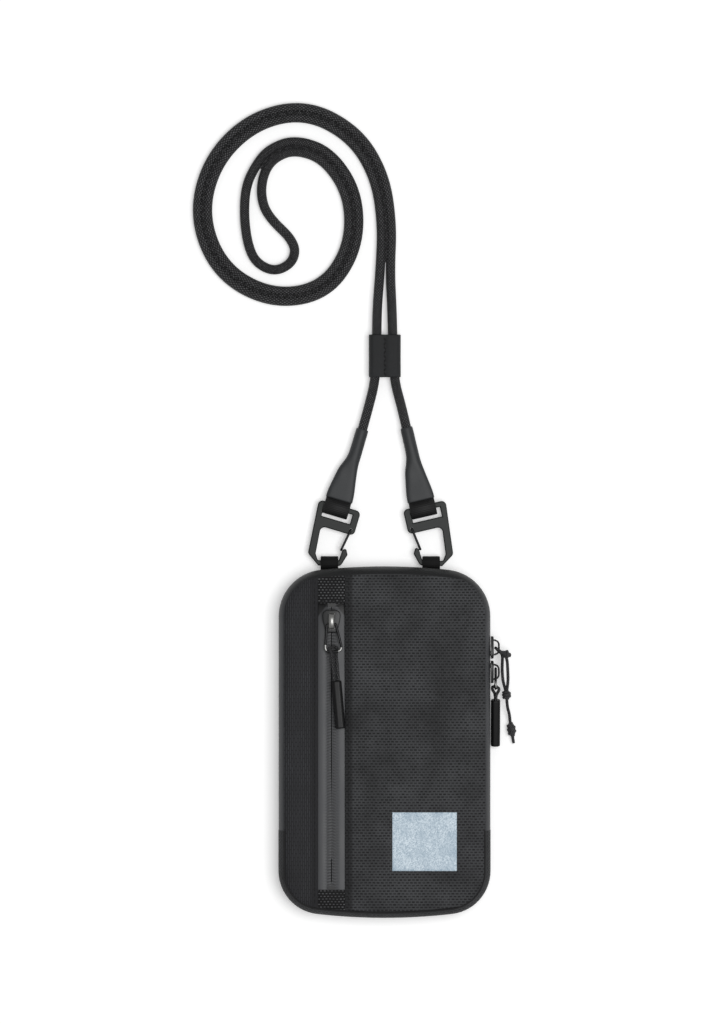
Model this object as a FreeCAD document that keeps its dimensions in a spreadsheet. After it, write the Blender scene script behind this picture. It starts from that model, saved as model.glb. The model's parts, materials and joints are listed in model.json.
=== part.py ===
import FreeCAD, Part
import math
import os
import re
import Sketcher
from FreeCAD import Placement, Rotation, Vector

# Phone pouch with a doubled neck cord, lying on its back.
# Millimetres. +X right, +Y towards the cord, +Z up out of the front; origin at the middle of the back face.

SIZES = {
    # pouch outline and wall
    "pouch_width": 117.5,
    "pouch_height": 195.0,
    "pouch_depth": 22.0,
    "top_corner": 26.0,
    "bottom_corner": 24.0,
    "end_bow": 330.0,
    "panel_inset": 5.0,
    "shoulder_inset": 0.6,
    "shoulder_rise": 4.6,
    "fabric": 1.2,
    "foam_back": 2.0,
    "foam_front": 1.6,
    "lining": 0.6,
    "lining_inset": 7.0,
    "pocket_depth": 2.6,
    "pocket_inset": 6.4,
    "pocket_rim": 1.5,
    # main zip, up the left side, over the top and down the right side
    "tape": 1.0,
    "zip_slit": 1.4,
    "gusset_height": 48.7,
    "coil_gap": 0.3,
    "coil_wide": 1.2,
    "coil_deep": 1.6,
    # front zip
    "zip_side_margin": 29.35,
    "zip_window": 14.9,
    "zip_top_margin": 20.4,
    "zip_foot_margin": 16.2,
    "tape_drop": 0.3,
    "front_tape": 0.8,
    "front_coil": 1.0,
    "stop_length": 2.0,
    "stop_width": 4.0,
    "stop_height": 0.3,
    # patch sewn low on the front
    "patch_width": 35.7,
    "patch_height": 32.5,
    "patch_side_margin": 36.65,
    "patch_rise": 42.8,
    "patch_thick": 0.4,
    "patch_corner": 1.0,
    # zip sliders
    "running_gap": 0.3,
    "slider_width": 10.0,
    "slider_tail": 6.4,
    "slider_length": 12.4,
    "slider_plate": 1.5,
    "slider_inner": 0.9,
    "slider_round": 1.2,
    "post_width": 0.9,
    "post_length": 3.0,
    "crown_width": 3.2,
    "crown_length": 8.4,
    "crown_height": 3.5,
    "crown_wall": 1.2,
    "slider_drop": 9.9,
    "sliders_drop": 51.8,
    "sliders_apart": 1.2,
    # pull rings, cords and grips
    "ring_seat": 1.7,
    "side_seat": 1.9,
    "ring_wire": 1.3,
    "ring_head": 6.4,
    "ring_foot": 9.2,
    "front_ring": 16.5,
    "side_ring": 12.6,
    "ring_tilt": 5.0,
    "ring_rise": 1.6,
    "front_fall": 2.0,
    "pull_cord": 1.7,
    "front_drop": 16.0,
    "side_drop": 6.2,
    "side_fall": 12.5,
    "grip_length": 26.5,
    "grip_width": 5.6,
    "grip_thick": 5.2,
    "grip_round": 2.0,
    "grip_end": 0.8,
    "grip_bore": 3.4,
    "knot_ring": 1.75,
    "knot_pitch": 1.9,
    # tabs, hooks, straps and sleeves
    "webbing": 1.2,
    "tab_width": 9.8,
    "tab_loop": 2.7,
    "tab_spread": 56.6,
    "tab_shift": -2.3,
    "tab_reach": 1.7,
    "lanyard_level": 4.6,
    "left_lean": 16.5,
    "right_lean": 13.0,
    "hook_plate": 3.0,
    "hook_width": 24.4,
    "hook_reach": 30.9,
    "hook_offset": 3.5,
    "bar_lean": 15.0,
    "bar_half": 6.2,
    "slot_width": 16.4,
    "slot_height": 5.4,
    "cross_bar": 5.6,
    "spine_wide": 4.2,
    "nose_height": 10.4,
    "hook_corner": 2.6,
    "hook_small": 1.1,
    "hook_edge": 0.7,
    "gate_wire": 1.3,
    "gate_gap": 0.08,
    "strap_width": 14.5,
    "strap_thick": 1.1,
    "strap_loop": 3.1,
    "sleeve_seat": 4.6,
    "sleeve_length": 40.9,
    "sleeve_base": 15.6,
    "sleeve_thick": 5.0,
    "sleeve_neck": 7.2,
    "stem_depth": 8.0,
    "socket_gap": 0.6,
    "socket_depth": 2.0,
    # neck cord and the keeper that slides on it
    "cord": 5.0,
    "strand_pitch": 5.5,
    "keeper_right": 0.2,
    "keeper_up": 214.5,
    "keeper_width": 17.8,
    "keeper_length": 23.6,
    "keeper_thick": 8.2,
    "channel_offset": 4.5,
    "channel_width": 7.2,
    "channel_height": 6.2,
    "groove": 0.5,
}

# Middle of the doubled cord from the keeper round the spiral, and its end loop, as it lies, chosen by hand.
PAIR_ROUTE = [
    (0.4, 262.0, 3.4),
    (1.6, 288.0, 2.8),
    (-2.6, 315.3, 2.8),
    (-17.6, 337.6, 2.8),
    (-43.5, 350.8, 2.8),
    (-72.8, 344.3, 2.8),
    (-95.0, 322.5, 2.8),
    (-103.0, 292.0, 2.8),
    (-91.0, 261.5, 2.8),
    (-63.0, 246.0, 2.8),
    (-33.5, 250.5, 2.8),
    (-17.3, 274.0, 2.8),
    (-17.0, 303.8, 2.8),
    (-31.5, 327.0, 2.8),
    (-49.5, 333.5, 2.8),
    (-63.5, 327.0, 2.8),
]
LOOP_ROUTE = [
    (-67.0, 315.0, 2.8),
    (-69.2, 304.5, 2.8),
    (-65.3, 292.5, 2.8),
    (-48.8, 275.8, 2.8),
    (-50.0, 263.8, 2.8),
    (-60.4, 257.9, 2.8),
    (-71.6, 263.0, 2.8),
    (-76.6, 275.0, 2.8),
    (-78.8, 292.5, 2.8),
    (-76.8, 310.6, 2.8),
]
LEFT_LEG = [(-9.3, 184.0, 4.6), (-5.0, 201.0, 4.6), (-4.3, 220.5, 4.6), (-4.1, 241.0, 4.5)]
RIGHT_LEG = [(4.2, 241.0, 4.5), (4.7, 220.5, 4.6), (5.4, 201.0, 4.6), (9.9, 185.0, 4.6)]

# Thin cord of the upper pull, from its knot up through the slider's crown and back, and its tail,
# from the slider's seat on the zip.
UPPER_LOOP = [
    (9.15, -23.9, -1.4),
    (8.85, -18.5, 0.6),
    (8.55, -11.5, 2.6),
    (7.45, -5.1, 4.2),
    (5.4, -2.6, 4.1),
    (2.95, -0.3, 3.6),
    (2.95, -0.3, -3.6),
    (4.9, -2.9, -4.1),
    (6.65, -5.3, -4.1),
    (7.35, -11.5, -3.8),
    (7.85, -18.5, -3.1),
    (8.55, -23.9, -3.4),
]
UPPER_TAIL = [(9.25, -29.5, -3.4), (9.55, -33.5, -4.2), (10.85, -37.3, -5.8), (11.15, -41.1, -7.6)]

doc = FreeCAD.newDocument("phone_pouch")
sheet = doc.addObject("Spreadsheet::Sheet", "Sizes")
for row, (name, number) in enumerate(SIZES.items(), start=1):
    sheet.set(f"A{row}", name)
    sheet.set(f"B{row}", str(number))
    sheet.setAlias(f"B{row}", name)
doc.recompute()

PIECES = []
MIDDLE = "pouch_depth / 2"
FRONT_SKIN = "(pouch_depth - fabric)"
ZIP_FACE = "(pouch_depth - tape_drop)"
BAR_UP = "(pouch_height / 2 + tab_reach)"
GUSSET_TOP = "(gusset_height - pouch_height / 2)"
ZIP_MIDDLE = "(zip_side_margin - pouch_width / 2)"
ZIP_TOP = "(pouch_height / 2 - zip_top_margin)"
ZIP_FOOT = "(zip_foot_margin - pouch_height / 2)"


def cells(formula):
    """A formula on size names, as an expression on the sheet's cells."""
    return re.sub(r"[a-z_]+", lambda word: f"Sizes.{word[0]}" if word[0] in SIZES else word[0], formula)


def size(formula):
    return float(sheet.evalExpression(formula))


def bind(thing, prop, formula):
    thing.setExpression(prop, cells(formula))


def finish(thing, label):
    thing.Label = label
    PIECES.append(thing)
    return thing


# Part objects: outlines, slabs, lofted walls, boxes and booleans

def outline(name, inset, level):
    """The pouch's outline drawn in by inset: straight sides, bowed ends and four corner arcs."""
    sketch = doc.addObject("Sketcher::SketchObject", name)
    half_width = size(f"pouch_width / 2 - ({inset})")
    half_height = size(f"pouch_height / 2 - ({inset})")
    bow = size(f"end_bow - ({inset})")
    corners = [size(f"top_corner - ({inset})"), size(f"bottom_corner - ({inset})")]
    centres = []
    swings = []
    for corner in corners:
        across = half_width - corner
        rise = math.sqrt((bow - corner) ** 2 - across ** 2)
        centres.append((across, half_height - bow + rise))
        swings.append(math.atan2(rise, across))
    (top_x, top_y), (foot_x, foot_y) = centres
    top_swing, foot_swing = swings

    def arc(x, y, radius, start, end):
        return Part.ArcOfCircle(Part.Circle(Vector(x, y, 0), Vector(0, 0, 1), radius), start, end)

    turn = math.pi
    sketch.addGeometry([
        Part.LineSegment(Vector(half_width, -foot_y, 0), Vector(half_width, top_y, 0)),
        arc(top_x, top_y, corners[0], 0, top_swing),
        arc(0, half_height - bow, bow, top_swing, turn - top_swing),
        arc(-top_x, top_y, corners[0], turn - top_swing, turn),
        Part.LineSegment(Vector(-half_width, top_y, 0), Vector(-half_width, -foot_y, 0)),
        arc(-foot_x, -foot_y, corners[1], turn, turn + foot_swing),
        arc(0, bow - half_height, bow, turn + foot_swing, 2 * turn - foot_swing),
        arc(foot_x, -foot_y, corners[1], 2 * turn - foot_swing, 2 * turn),
    ], False)
    for edge in range(8):
        sketch.addConstraint(Sketcher.Constraint("Tangent", edge, 2, (edge + 1) % 8, 1))
    sketch.addConstraint(Sketcher.Constraint("Vertical", 0))
    sketch.addConstraint(Sketcher.Constraint("Vertical", 4))
    sketch.addConstraint(Sketcher.Constraint("PointOnObject", 2, 3, -2))
    sketch.addConstraint(Sketcher.Constraint("PointOnObject", 6, 3, -2))
    radii = {1: "top_corner", 3: "top_corner", 5: "bottom_corner", 7: "bottom_corner",
             2: "end_bow", 6: "end_bow"}
    for edge, radius in radii.items():
        formula = f"{radius} - ({inset})"
        drive(sketch, Sketcher.Constraint("Radius", edge, size(formula)), formula)
    for edge, formula in {0: f"pouch_width / 2 - ({inset})", 4: f"({inset}) - pouch_width / 2"}.items():
        drive(sketch, Sketcher.Constraint("DistanceX", -1, 1, edge, 1, size(formula)), formula)
    for edge, formula in {2: "pouch_height / 2 - end_bow", 6: "end_bow - pouch_height / 2"}.items():
        drive(sketch, Sketcher.Constraint("DistanceY", -1, 1, edge, 3, size(formula)), formula)
    bind(sketch, "Placement.Base.z", level)
    return sketch


def drive(sketch, constraint, formula):
    """Add a dimension to a sketch and bind it to the sheet."""
    index = sketch.addConstraint(constraint)
    bind(sketch, f"Constraints[{index}]", formula)


def slab(name, inset, level, thick):
    piece = doc.addObject("Part::Extrusion", name)
    piece.Base = outline(f"{name}_outline", inset, level)
    piece.DirMode = "Normal"
    piece.Solid = True
    bind(piece, "LengthFwd", thick)
    return piece


def wall(name, levels, drawn_in="0"):
    """A solid through the pouch's outline at each (inset, height)."""
    piece = doc.addObject("Part::Loft", name)
    piece.Sections = [outline(f"{name}_{step}", f"{inset} + {drawn_in}", level)
                      for step, (inset, level) in enumerate(levels)]
    piece.Solid = True
    piece.Ruled = True
    return piece


def box(name, corner, sides):
    piece = doc.addObject("Part::Box", name)
    for axis, formula in zip("xyz", corner):
        bind(piece, f"Placement.Base.{axis}", formula)
    for side, formula in zip(("Length", "Width", "Height"), sides):
        bind(piece, side, formula)
    return piece


def combine(kind, name, base, tool):
    piece = doc.addObject(f"Part::{kind}", name)
    piece.Base = base
    piece.Tool = tool
    return piece


def half_space(name, above):
    """Everything above or below the line where the main zip ends."""
    start = GUSSET_TOP if above else "-pouch_height"
    length = "pouch_height * 2" if above else f"pouch_height + {GUSSET_TOP}"
    return box(name, ("-pouch_width", start, "-pouch_depth"), ("pouch_width * 2", length, "pouch_depth * 3"))


# PartDesign bodies: sketches, pads, pockets and fillets

def body(label):
    return finish(doc.addObject("PartDesign::Body", label), label)


def attach(piece, name, role, lift):
    sketch = piece.newObject("Sketcher::SketchObject", f"{piece.Name}_{name}")
    plane = [feature for feature in piece.Origin.OriginFeatures if feature.Role == role][0]
    sketch.AttachmentSupport = [(plane, "")]
    sketch.MapMode = "FlatFace"
    bind(sketch, "AttachmentOffset.Base.z", lift)
    return sketch


def polygon(piece, name, role, corners, lift="0"):
    """Straight-sided outline with each corner bound to the sheet."""
    sketch = attach(piece, name, role, lift)
    points = [Vector(size(across), size(along), 0) for across, along in corners]
    count = len(points)
    for index in range(count):
        sketch.addGeometry(Part.LineSegment(points[index], points[(index + 1) % count]), False)
    for index in range(count):
        sketch.addConstraint(Sketcher.Constraint("Coincident", index, 2, (index + 1) % count, 1))
    for index, (across, along) in enumerate(corners):
        drive(sketch, Sketcher.Constraint("DistanceX", -1, 1, index, 1, points[index].x), across)
        drive(sketch, Sketcher.Constraint("DistanceY", -1, 1, index, 1, points[index].y), along)
    return sketch


def rectangle(piece, name, role, low, high, lift="0"):
    corners = [low, (high[0], low[1]), high, (low[0], high[1])]
    return polygon(piece, name, role, corners, lift)


def circle(piece, name, role, centre, radius, lift="0"):
    sketch = attach(piece, name, role, lift)
    middle = Vector(size(centre[0]), size(centre[1]), 0)
    sketch.addGeometry(Part.Circle(middle, Vector(0, 0, 1), size(radius)), False)
    drive(sketch, Sketcher.Constraint("Radius", 0, size(radius)), radius)
    drive(sketch, Sketcher.Constraint("DistanceX", -1, 1, 0, 3, middle.x), centre[0])
    drive(sketch, Sketcher.Constraint("DistanceY", -1, 1, 0, 3, middle.y), centre[1])
    return sketch


def stadium(piece, name, role, width, height, lift="0", shift="0"):
    """Flat oval: two straight sides and two half rounds, centred on the plane's first axis at shift."""
    sketch = attach(piece, name, role, lift)
    half = size(f"(({width}) - ({height})) / 2")
    middle = size(shift)
    radius = size(f"({height}) / 2")
    quarter = math.pi / 2
    up = Vector(0, 0, 1)
    sketch.addGeometry([
        Part.ArcOfCircle(Part.Circle(Vector(middle + half, 0, 0), up, radius), -quarter, quarter),
        Part.LineSegment(Vector(middle + half, radius, 0), Vector(middle - half, radius, 0)),
        Part.ArcOfCircle(Part.Circle(Vector(middle - half, 0, 0), up, radius), quarter, 3 * quarter),
        Part.LineSegment(Vector(middle - half, -radius, 0), Vector(middle + half, -radius, 0)),
    ], False)
    for edge in range(4):
        sketch.addConstraint(Sketcher.Constraint("Tangent", edge, 2, (edge + 1) % 4, 1))
    sketch.addConstraint(Sketcher.Constraint("Equal", 0, 2))
    sketch.addConstraint(Sketcher.Constraint("PointOnObject", 0, 3, -1))
    sketch.addConstraint(Sketcher.Constraint("PointOnObject", 2, 3, -1))
    drive(sketch, Sketcher.Constraint("Radius", 0, radius), f"({height}) / 2")
    for edge, sign in ((0, "+"), (2, "-")):
        formula = f"({shift}) {sign} (({width}) - ({height})) / 2"
        drive(sketch, Sketcher.Constraint("DistanceX", -1, 1, edge, 3, size(formula)), formula)
    return sketch


def grow(piece, kind, sketch, length, both=False, back=False):
    """Pad or Pocket on a sketch, to one side or evenly to both."""
    feature = piece.newObject(f"PartDesign::{kind}", f"{sketch.Name}_{kind}")
    feature.Profile = sketch
    bind(feature, "Length", length)
    feature.SideType = "Symmetric" if both else "One side"
    feature.Reversed = back
    return feature


def soften(piece, radius, pick):
    """Fillet the edges of a body that pick chooses."""
    doc.recompute()
    base = piece.Tip
    names = [f"Edge{number}" for number, edge in enumerate(base.Shape.Edges, start=1) if pick(edge)]
    if not names:
        raise RuntimeError(f"{piece.Label}: no edges to round")
    fillet = piece.newObject("PartDesign::Fillet", f"{piece.Name}_round")
    fillet.Base = (base, names)
    bind(fillet, "Radius", radius)
    doc.recompute()


def runs_along(edge, axis):
    """True for a straight edge parallel to an axis."""
    if edge.Curve.TypeId != "Part::GeomLine":
        return False
    return abs(abs(edge.tangentAt(edge.FirstParameter).dot(axis)) - 1) < 1e-6


def near(edge, points, reach=0.05):
    """True for an edge whose middle is over one of some (x, y) points."""
    middle = edge.CenterOfMass
    return any(math.hypot(middle.x - x, middle.y - y) < reach for x, y in points)


X_AXIS = Vector(1, 0, 0)
Y_AXIS = Vector(0, 1, 0)
Z_AXIS = Vector(0, 0, 1)


def put(piece, corner, rotation=None):
    """Place a piece at bound coordinates, turned by rotation."""
    if rotation is not None:
        piece.Placement = Placement(Vector(), rotation)
    for axis, formula in zip("xyz", corner):
        bind(piece, f"Placement.Base.{axis}", formula)


# Tubes: cords and wires

def bends(points, wire_radii=None):
    """Straight runs joined by tangent arcs, as large as the runs allow or of given radii."""
    corners = [Vector(*point) for point in points]
    edges = []
    radii = []
    start = corners[0]
    for bend, (before, corner, after) in enumerate(zip(corners, corners[1:], corners[2:])):
        inward = (before - corner).normalize()
        outward = (after - corner).normalize()
        half_turn = (math.pi - inward.getAngle(outward)) / 2
        shorter = min(before.distanceToPoint(corner), corner.distanceToPoint(after))
        reach = 0.45 * shorter if wire_radii is None else wire_radii[bend] * math.tan(half_turn)
        radius = reach / math.tan(half_turn)
        entry = corner + inward * reach
        leave = corner + outward * reach
        bisector = (inward + outward).normalize()
        middle = corner + bisector * (radius / math.cos(half_turn) - radius)
        edges.append(Part.LineSegment(start, entry).toShape())
        edges.append(Part.Arc(entry, middle, leave).toShape())
        radii.append(radius)
        start = leave
    edges.append(Part.LineSegment(start, corners[-1]).toShape())
    return Part.Wire(edges), radii


def tube(label, points, diameter, wire_radii=None):
    """A round cord or wire along points."""
    path, radii = bends(points, wire_radii)
    first = Vector(*points[0])
    ring = Part.Circle(first, Vector(*points[1]) - first, diameter / 2)
    solid = path.makePipeShell([Part.Wire(ring.toShape())], True, False)
    expected = math.pi * diameter ** 2 / 4 * path.Length
    if abs(solid.Volume / expected - 1) > 0.01:
        raise RuntimeError(f"{label}: volume {solid.Volume:.1f}, section times length {expected:.1f}")
    piece = finish(doc.addObject("Part::Feature", label), label)
    piece.Shape = solid
    listed = ", ".join(f"{radius:.1f}" for radius in radii)
    print(f"{label}: {path.Length:.1f} mm long, arc radii {listed}")
    return piece, path


def strand(route, side):
    """One strand of the doubled cord: the route moved half a pitch to one side."""
    half_pitch = side * size("strand_pitch") / 2
    points = [Vector(*point) for point in route]
    moved = []
    for index, point in enumerate(points):
        ways = []
        if index > 0:
            ways.append(point - points[index - 1])
        if index < len(points) - 1:
            ways.append(points[index + 1] - point)
        flat = [Vector(way.x, way.y, 0).normalize() for way in ways]
        along = sum(flat[1:], flat[0]).normalize()
        # the strands begin to part at the last point, where the end loop starts
        parting = 1.4 if index == len(points) - 1 else 1.0
        spread = parting * half_pitch / along.dot(flat[0])
        moved.append((point.x - along.y * spread, point.y + along.x * spread, point.z))
    return moved


def least_gap(path, diameter, step=2.0, skip=20.0):
    """Smallest gap between stretches of a cord that are more than skip apart along it."""
    points = path.discretize(Distance=step)
    spacing = path.Length / (len(points) - 1)
    apart = int(skip / spacing)
    closest = min(points[i].distanceToPoint(points[j])
                  for i in range(len(points)) for j in range(i + apart, len(points)))
    return closest - diameter


# Pouch

def back_half():
    finish(slab("back_panel", "panel_inset", "0", "fabric"), "back_panel")
    finish(slab("back_padding", "lining_inset", "fabric", "foam_back"), "back_padding")
    finish(slab("back_lining", "lining_inset", "fabric + foam_back", "lining"), "back_lining")


BACK_LEVELS = [("panel_inset", "fabric"), ("shoulder_inset", f"{MIDDLE} - shoulder_rise"),
               ("0", f"{MIDDLE} - zip_slit / 2")]
FRONT_LEVELS = [("0", f"{MIDDLE} + zip_slit / 2"), ("shoulder_inset", f"{MIDDLE} + shoulder_rise"),
                ("panel_inset", FRONT_SKIN)]
GUSSET_LEVELS = BACK_LEVELS[:2] + [("0", MIDDLE)] + FRONT_LEVELS[1:]


def zip_tape(label, levels):
    """Half of the main zip's tape, from zip end to zip end over the top."""
    outer = wall(f"{label}_outer", levels)
    hoop = combine("Cut", f"{label}_hoop", outer, wall(f"{label}_inner", levels, "tape"))
    finish(combine("Cut", label, hoop, half_space(f"{label}_below", False)), label)
    return outer


def zip_coil(label, level):
    """Half of the main zip's coil, on the inside of its tape."""
    inset = "tape + coil_gap"
    hoop = combine("Cut", f"{label}_hoop", slab(f"{label}_outer", inset, level, "coil_deep"),
                   slab(f"{label}_inner", f"{inset} + coil_wide", level, "coil_deep"))
    finish(combine("Cut", label, hoop, half_space(f"{label}_below", False)), label)


def bottom_gusset():
    hoop = combine("Cut", "gusset_hoop", wall("gusset_outer", GUSSET_LEVELS),
                   wall("gusset_inner", GUSSET_LEVELS, "tape"))
    finish(combine("Cut", "bottom_gusset", hoop, half_space("gusset_above", True)), "bottom_gusset")


def front_skin():
    """Woven panels of the front, cut round the zip, and the zip's end patches."""
    skin = slab("front_skin", "panel_inset", FRONT_SKIN, "fabric")
    left = f"({ZIP_MIDDLE} - zip_window / 2)"
    right = f"({ZIP_MIDDLE} + zip_window / 2)"
    depth = "pouch_depth * 2"
    areas = {
        "front_main_panel": ((right, "-pouch_height", "0"), ("pouch_width", "pouch_height * 2", depth)),
        "front_side_panel": ((f"{left} - pouch_width", "-pouch_height", "0"),
                             ("pouch_width", "pouch_height * 2", depth)),
        "zip_top_patch": ((left, ZIP_TOP, "0"), ("zip_window", "pouch_height", depth)),
        "zip_bottom_patch": ((left, f"{ZIP_FOOT} - pouch_height", "0"),
                             ("zip_window", "pouch_height", depth)),
    }
    for label, (corner, sides) in areas.items():
        finish(combine("Common", label, skin, box(f"{label}_area", corner, sides)), label)


def front_zip():
    """Two tapes with their coils below, and a stop at each end."""
    length = f"{ZIP_TOP} - {ZIP_FOOT}"
    base = f"{ZIP_FACE} - front_tape"
    strip = "(zip_window - zip_slit) / 2"
    inner = {"left": f"{ZIP_MIDDLE} - zip_slit / 2", "right": f"{ZIP_MIDDLE} + zip_slit / 2"}
    outer = {"left": f"{ZIP_MIDDLE} - zip_window / 2", "right": inner["right"]}
    for side, reach in (("left", -1), ("right", 1)):
        label = f"front_zip_tape_{side}"
        finish(box(label, (outer[side], ZIP_FOOT, base), (strip, length, "front_tape")), label)
        label = f"front_zip_coil_{side}"
        coil = finish(doc.addObject("Part::Cylinder", label), label)
        bind(coil, "Radius", "front_coil")
        bind(coil, "Height", length)
        coil.Angle = 180
        # the half round hangs under the tape, with its flat side up against it
        put(coil, (f"{inner[side]} + {reach} * front_coil", ZIP_FOOT, base), Rotation(X_AXIS, -90))
    stops = []
    for name, start in (("top", f"{ZIP_TOP} - stop_length"), ("foot", ZIP_FOOT)):
        stops.append(box(f"front_stop_{name}", (f"{ZIP_MIDDLE} - stop_width / 2", start, ZIP_FACE),
                         ("stop_width", "stop_length", "stop_height")))
    group = doc.addObject("Part::Compound", "front_zip_stops")
    group.Links = stops
    finish(group, "front_zip_stops")


def front_inside():
    """Pocket behind the front zip, then foam and lining."""
    floor = f"({FRONT_SKIN} - pocket_depth - lining)"
    tray = slab("pocket_tray", "pocket_inset", floor, "lining + pocket_depth")
    hollow = slab("pocket_hollow", "pocket_inset + pocket_rim", f"{floor} + lining", "pocket_depth")
    finish(combine("Cut", "pocket_lining", tray, hollow), "pocket_lining")
    finish(slab("front_padding", "lining_inset", f"{floor} - foam_front", "foam_front"), "front_padding")
    finish(slab("front_lining", "lining_inset", f"{floor} - foam_front - lining", "lining"), "front_lining")


def label_patch():
    piece = body("label_patch")
    half_width, half_height = "patch_width / 2", "patch_height / 2"
    face = rectangle(piece, "face", "XY_Plane", (f"-{half_width}", f"-{half_height}"), (half_width, half_height))
    grow(piece, "Pad", face, "patch_thick")
    soften(piece, "patch_corner", lambda edge: runs_along(edge, Z_AXIS))
    put(piece, ("pouch_width / 2 - patch_side_margin", "patch_rise - pouch_height / 2", "pouch_depth"))


# Zip sliders and pulls

def slider(label, bite, corner, rotation):
    """Zip slider: shield plate, post, inner plate and crown. Local +Y is its nose and +Z points outwards."""
    piece = body(label)
    half, tail, nose = "slider_width / 2", "slider_tail / 2", "slider_length / 2"
    shield = [(f"-{tail}", f"-{nose}"), (tail, f"-{nose}"), (half, "slider_length / 8"), (half, nose),
              (f"-{half}", nose), (f"-{half}", "slider_length / 8")]
    top = "running_gap + slider_plate"
    grow(piece, "Pad", polygon(piece, "shield", "XY_Plane", shield, "running_gap"), "slider_plate")
    soften(piece, "slider_round", lambda edge: runs_along(edge, Z_AXIS))
    post = rectangle(piece, "post", "XY_Plane", ("-post_width / 2", f"{nose} - slider_round - post_length"),
                     ("post_width / 2", f"{nose} - slider_round"), "running_gap")
    grow(piece, "Pad", post, f"running_gap + {bite}", back=True)
    inner = rectangle(piece, "inner", "XY_Plane", (f"-{tail}", f"-{nose} + slider_round"),
                      (tail, f"{nose} - slider_round / 2"), f"-({bite})")
    grow(piece, "Pad", inner, "slider_inner", back=True)
    rear, fore = "(-crown_length / 2)", "(crown_length / 2)"
    crown_top = f"{top} + crown_height"
    arch = [(rear, top), (fore, top), (f"{fore} - crown_wall", crown_top), (f"{rear} + crown_wall", crown_top)]
    grow(piece, "Pad", polygon(piece, "crown", "YZ_Plane", arch), "crown_width", both=True)
    eye = rectangle(piece, "eye", "YZ_Plane", (f"{rear} + crown_wall", top),
                    (f"{fore} - crown_wall", f"{crown_top} - crown_wall"))
    grow(piece, "Pocket", eye, "crown_width * 2", both=True)
    peak = size(crown_top)
    soften(piece, "crown_wall / 2", lambda edge: runs_along(edge, X_AXIS)
           and edge.CenterOfMass.z > peak - 0.01)
    put(piece, corner, rotation)


FACE_RIGHT = Rotation(Y_AXIS, 90)
FACE_RIGHT_DOWN = FACE_RIGHT.multiply(Rotation(Z_AXIS, 180))
CROWN_EYE = "(running_gap + slider_plate + (crown_height - crown_wall) / 2)"
SIDE_BITE = "tape + coil_gap + coil_wide + running_gap"
FRONT_BITE = "front_tape + front_coil + running_gap"
FRONT_AT = f"({ZIP_TOP} - slider_drop)"
MEET = "(pouch_height / 2 - sliders_drop)"
UPPER_AT = f"({MEET} + (slider_length + sliders_apart) / 2)"
LOWER_AT = f"({MEET} - (slider_length + sliders_apart) / 2)"
SIDE = "pouch_width / 2"


def sliders():
    slider("front_slider", FRONT_BITE, (ZIP_MIDDLE, FRONT_AT, ZIP_FACE), Rotation())
    slider("upper_slider", SIDE_BITE, (SIDE, UPPER_AT, MIDDLE), FACE_RIGHT_DOWN)
    slider("lower_slider", SIDE_BITE, (SIDE, LOWER_AT, MIDDLE), FACE_RIGHT)


def pull_ring(label, length):
    """Flat ring, narrow in the slider's crown and wide at its foot. Origin in its narrow bar, -Y to the foot."""
    piece = body(label)
    head, foot, wire = "ring_head / 2", "ring_foot / 2", "ring_wire"
    top, bottom = f"{wire} / 2", f"{wire} / 2 - {length}"
    rim = [(f"-({foot})", bottom), (foot, bottom), (head, top), (f"-({head})", top)]
    hole = [(f"{wire} - {foot}", f"{bottom} + {wire}"), (f"{foot} - {wire}", f"{bottom} + {wire}"),
            (f"{head} - {wire}", f"{top} - {wire}"), (f"{wire} - {head}", f"{top} - {wire}")]
    grow(piece, "Pad", polygon(piece, "rim", "XY_Plane", rim), wire, both=True)
    grow(piece, "Pocket", polygon(piece, "hole", "XY_Plane", hole), f"{wire} * 2", both=True)
    corners = [(size(across), size(along)) for across, along in rim]
    soften(piece, wire, lambda edge: runs_along(edge, Z_AXIS) and near(edge, corners))
    return piece


def grip(label):
    """Moulded grip: an oblong with round edges and a bore for the cord's two strands. -Y to its foot."""
    piece = body(label)
    half_width, half_thick = "grip_width / 2", "grip_thick / 2"
    face = rectangle(piece, "face", "XZ_Plane", (f"-{half_width}", f"-{half_thick}"), (half_width, half_thick))
    grow(piece, "Pad", face, "grip_length")
    soften(piece, "grip_round", lambda edge: runs_along(edge, Y_AXIS))
    soften(piece, "grip_end", lambda edge: abs(edge.BoundBox.YMax - edge.BoundBox.YMin) < 0.001)
    bore = stadium(piece, "bore", "XZ_Plane", "pull_cord * 2.5", "pull_cord * 1.1")
    grow(piece, "Pocket", bore, "grip_bore", back=True)
    return piece


def pull_cord(label, drop):
    """Thin cord doubled over the ring's foot bar, with both ends in the grip. Origin in the bar."""
    cord = size("pull_cord")
    aside = 0.7 * cord
    over = size("ring_wire") / 2 + 0.7 * cord
    end = -size(f"{drop} + grip_bore - running_gap")
    mouth = -size(drop)
    half = [(-aside, end, 0), (-aside, mouth + 0.4 * cord, 0), (-aside * 0.95, mouth * 0.45, over * 0.5),
            (-aside * 0.9, -0.6 * cord, over), (-aside * 0.7, 0.41 * over, over),
            (-aside * 0.3, over, 0.41 * over)]
    back = [(-x, y, -z) for x, y, z in reversed(half)]
    piece, _ = tube(label, half + back, cord)
    return piece


def hang(piece, frame):
    piece.Placement = frame


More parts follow.
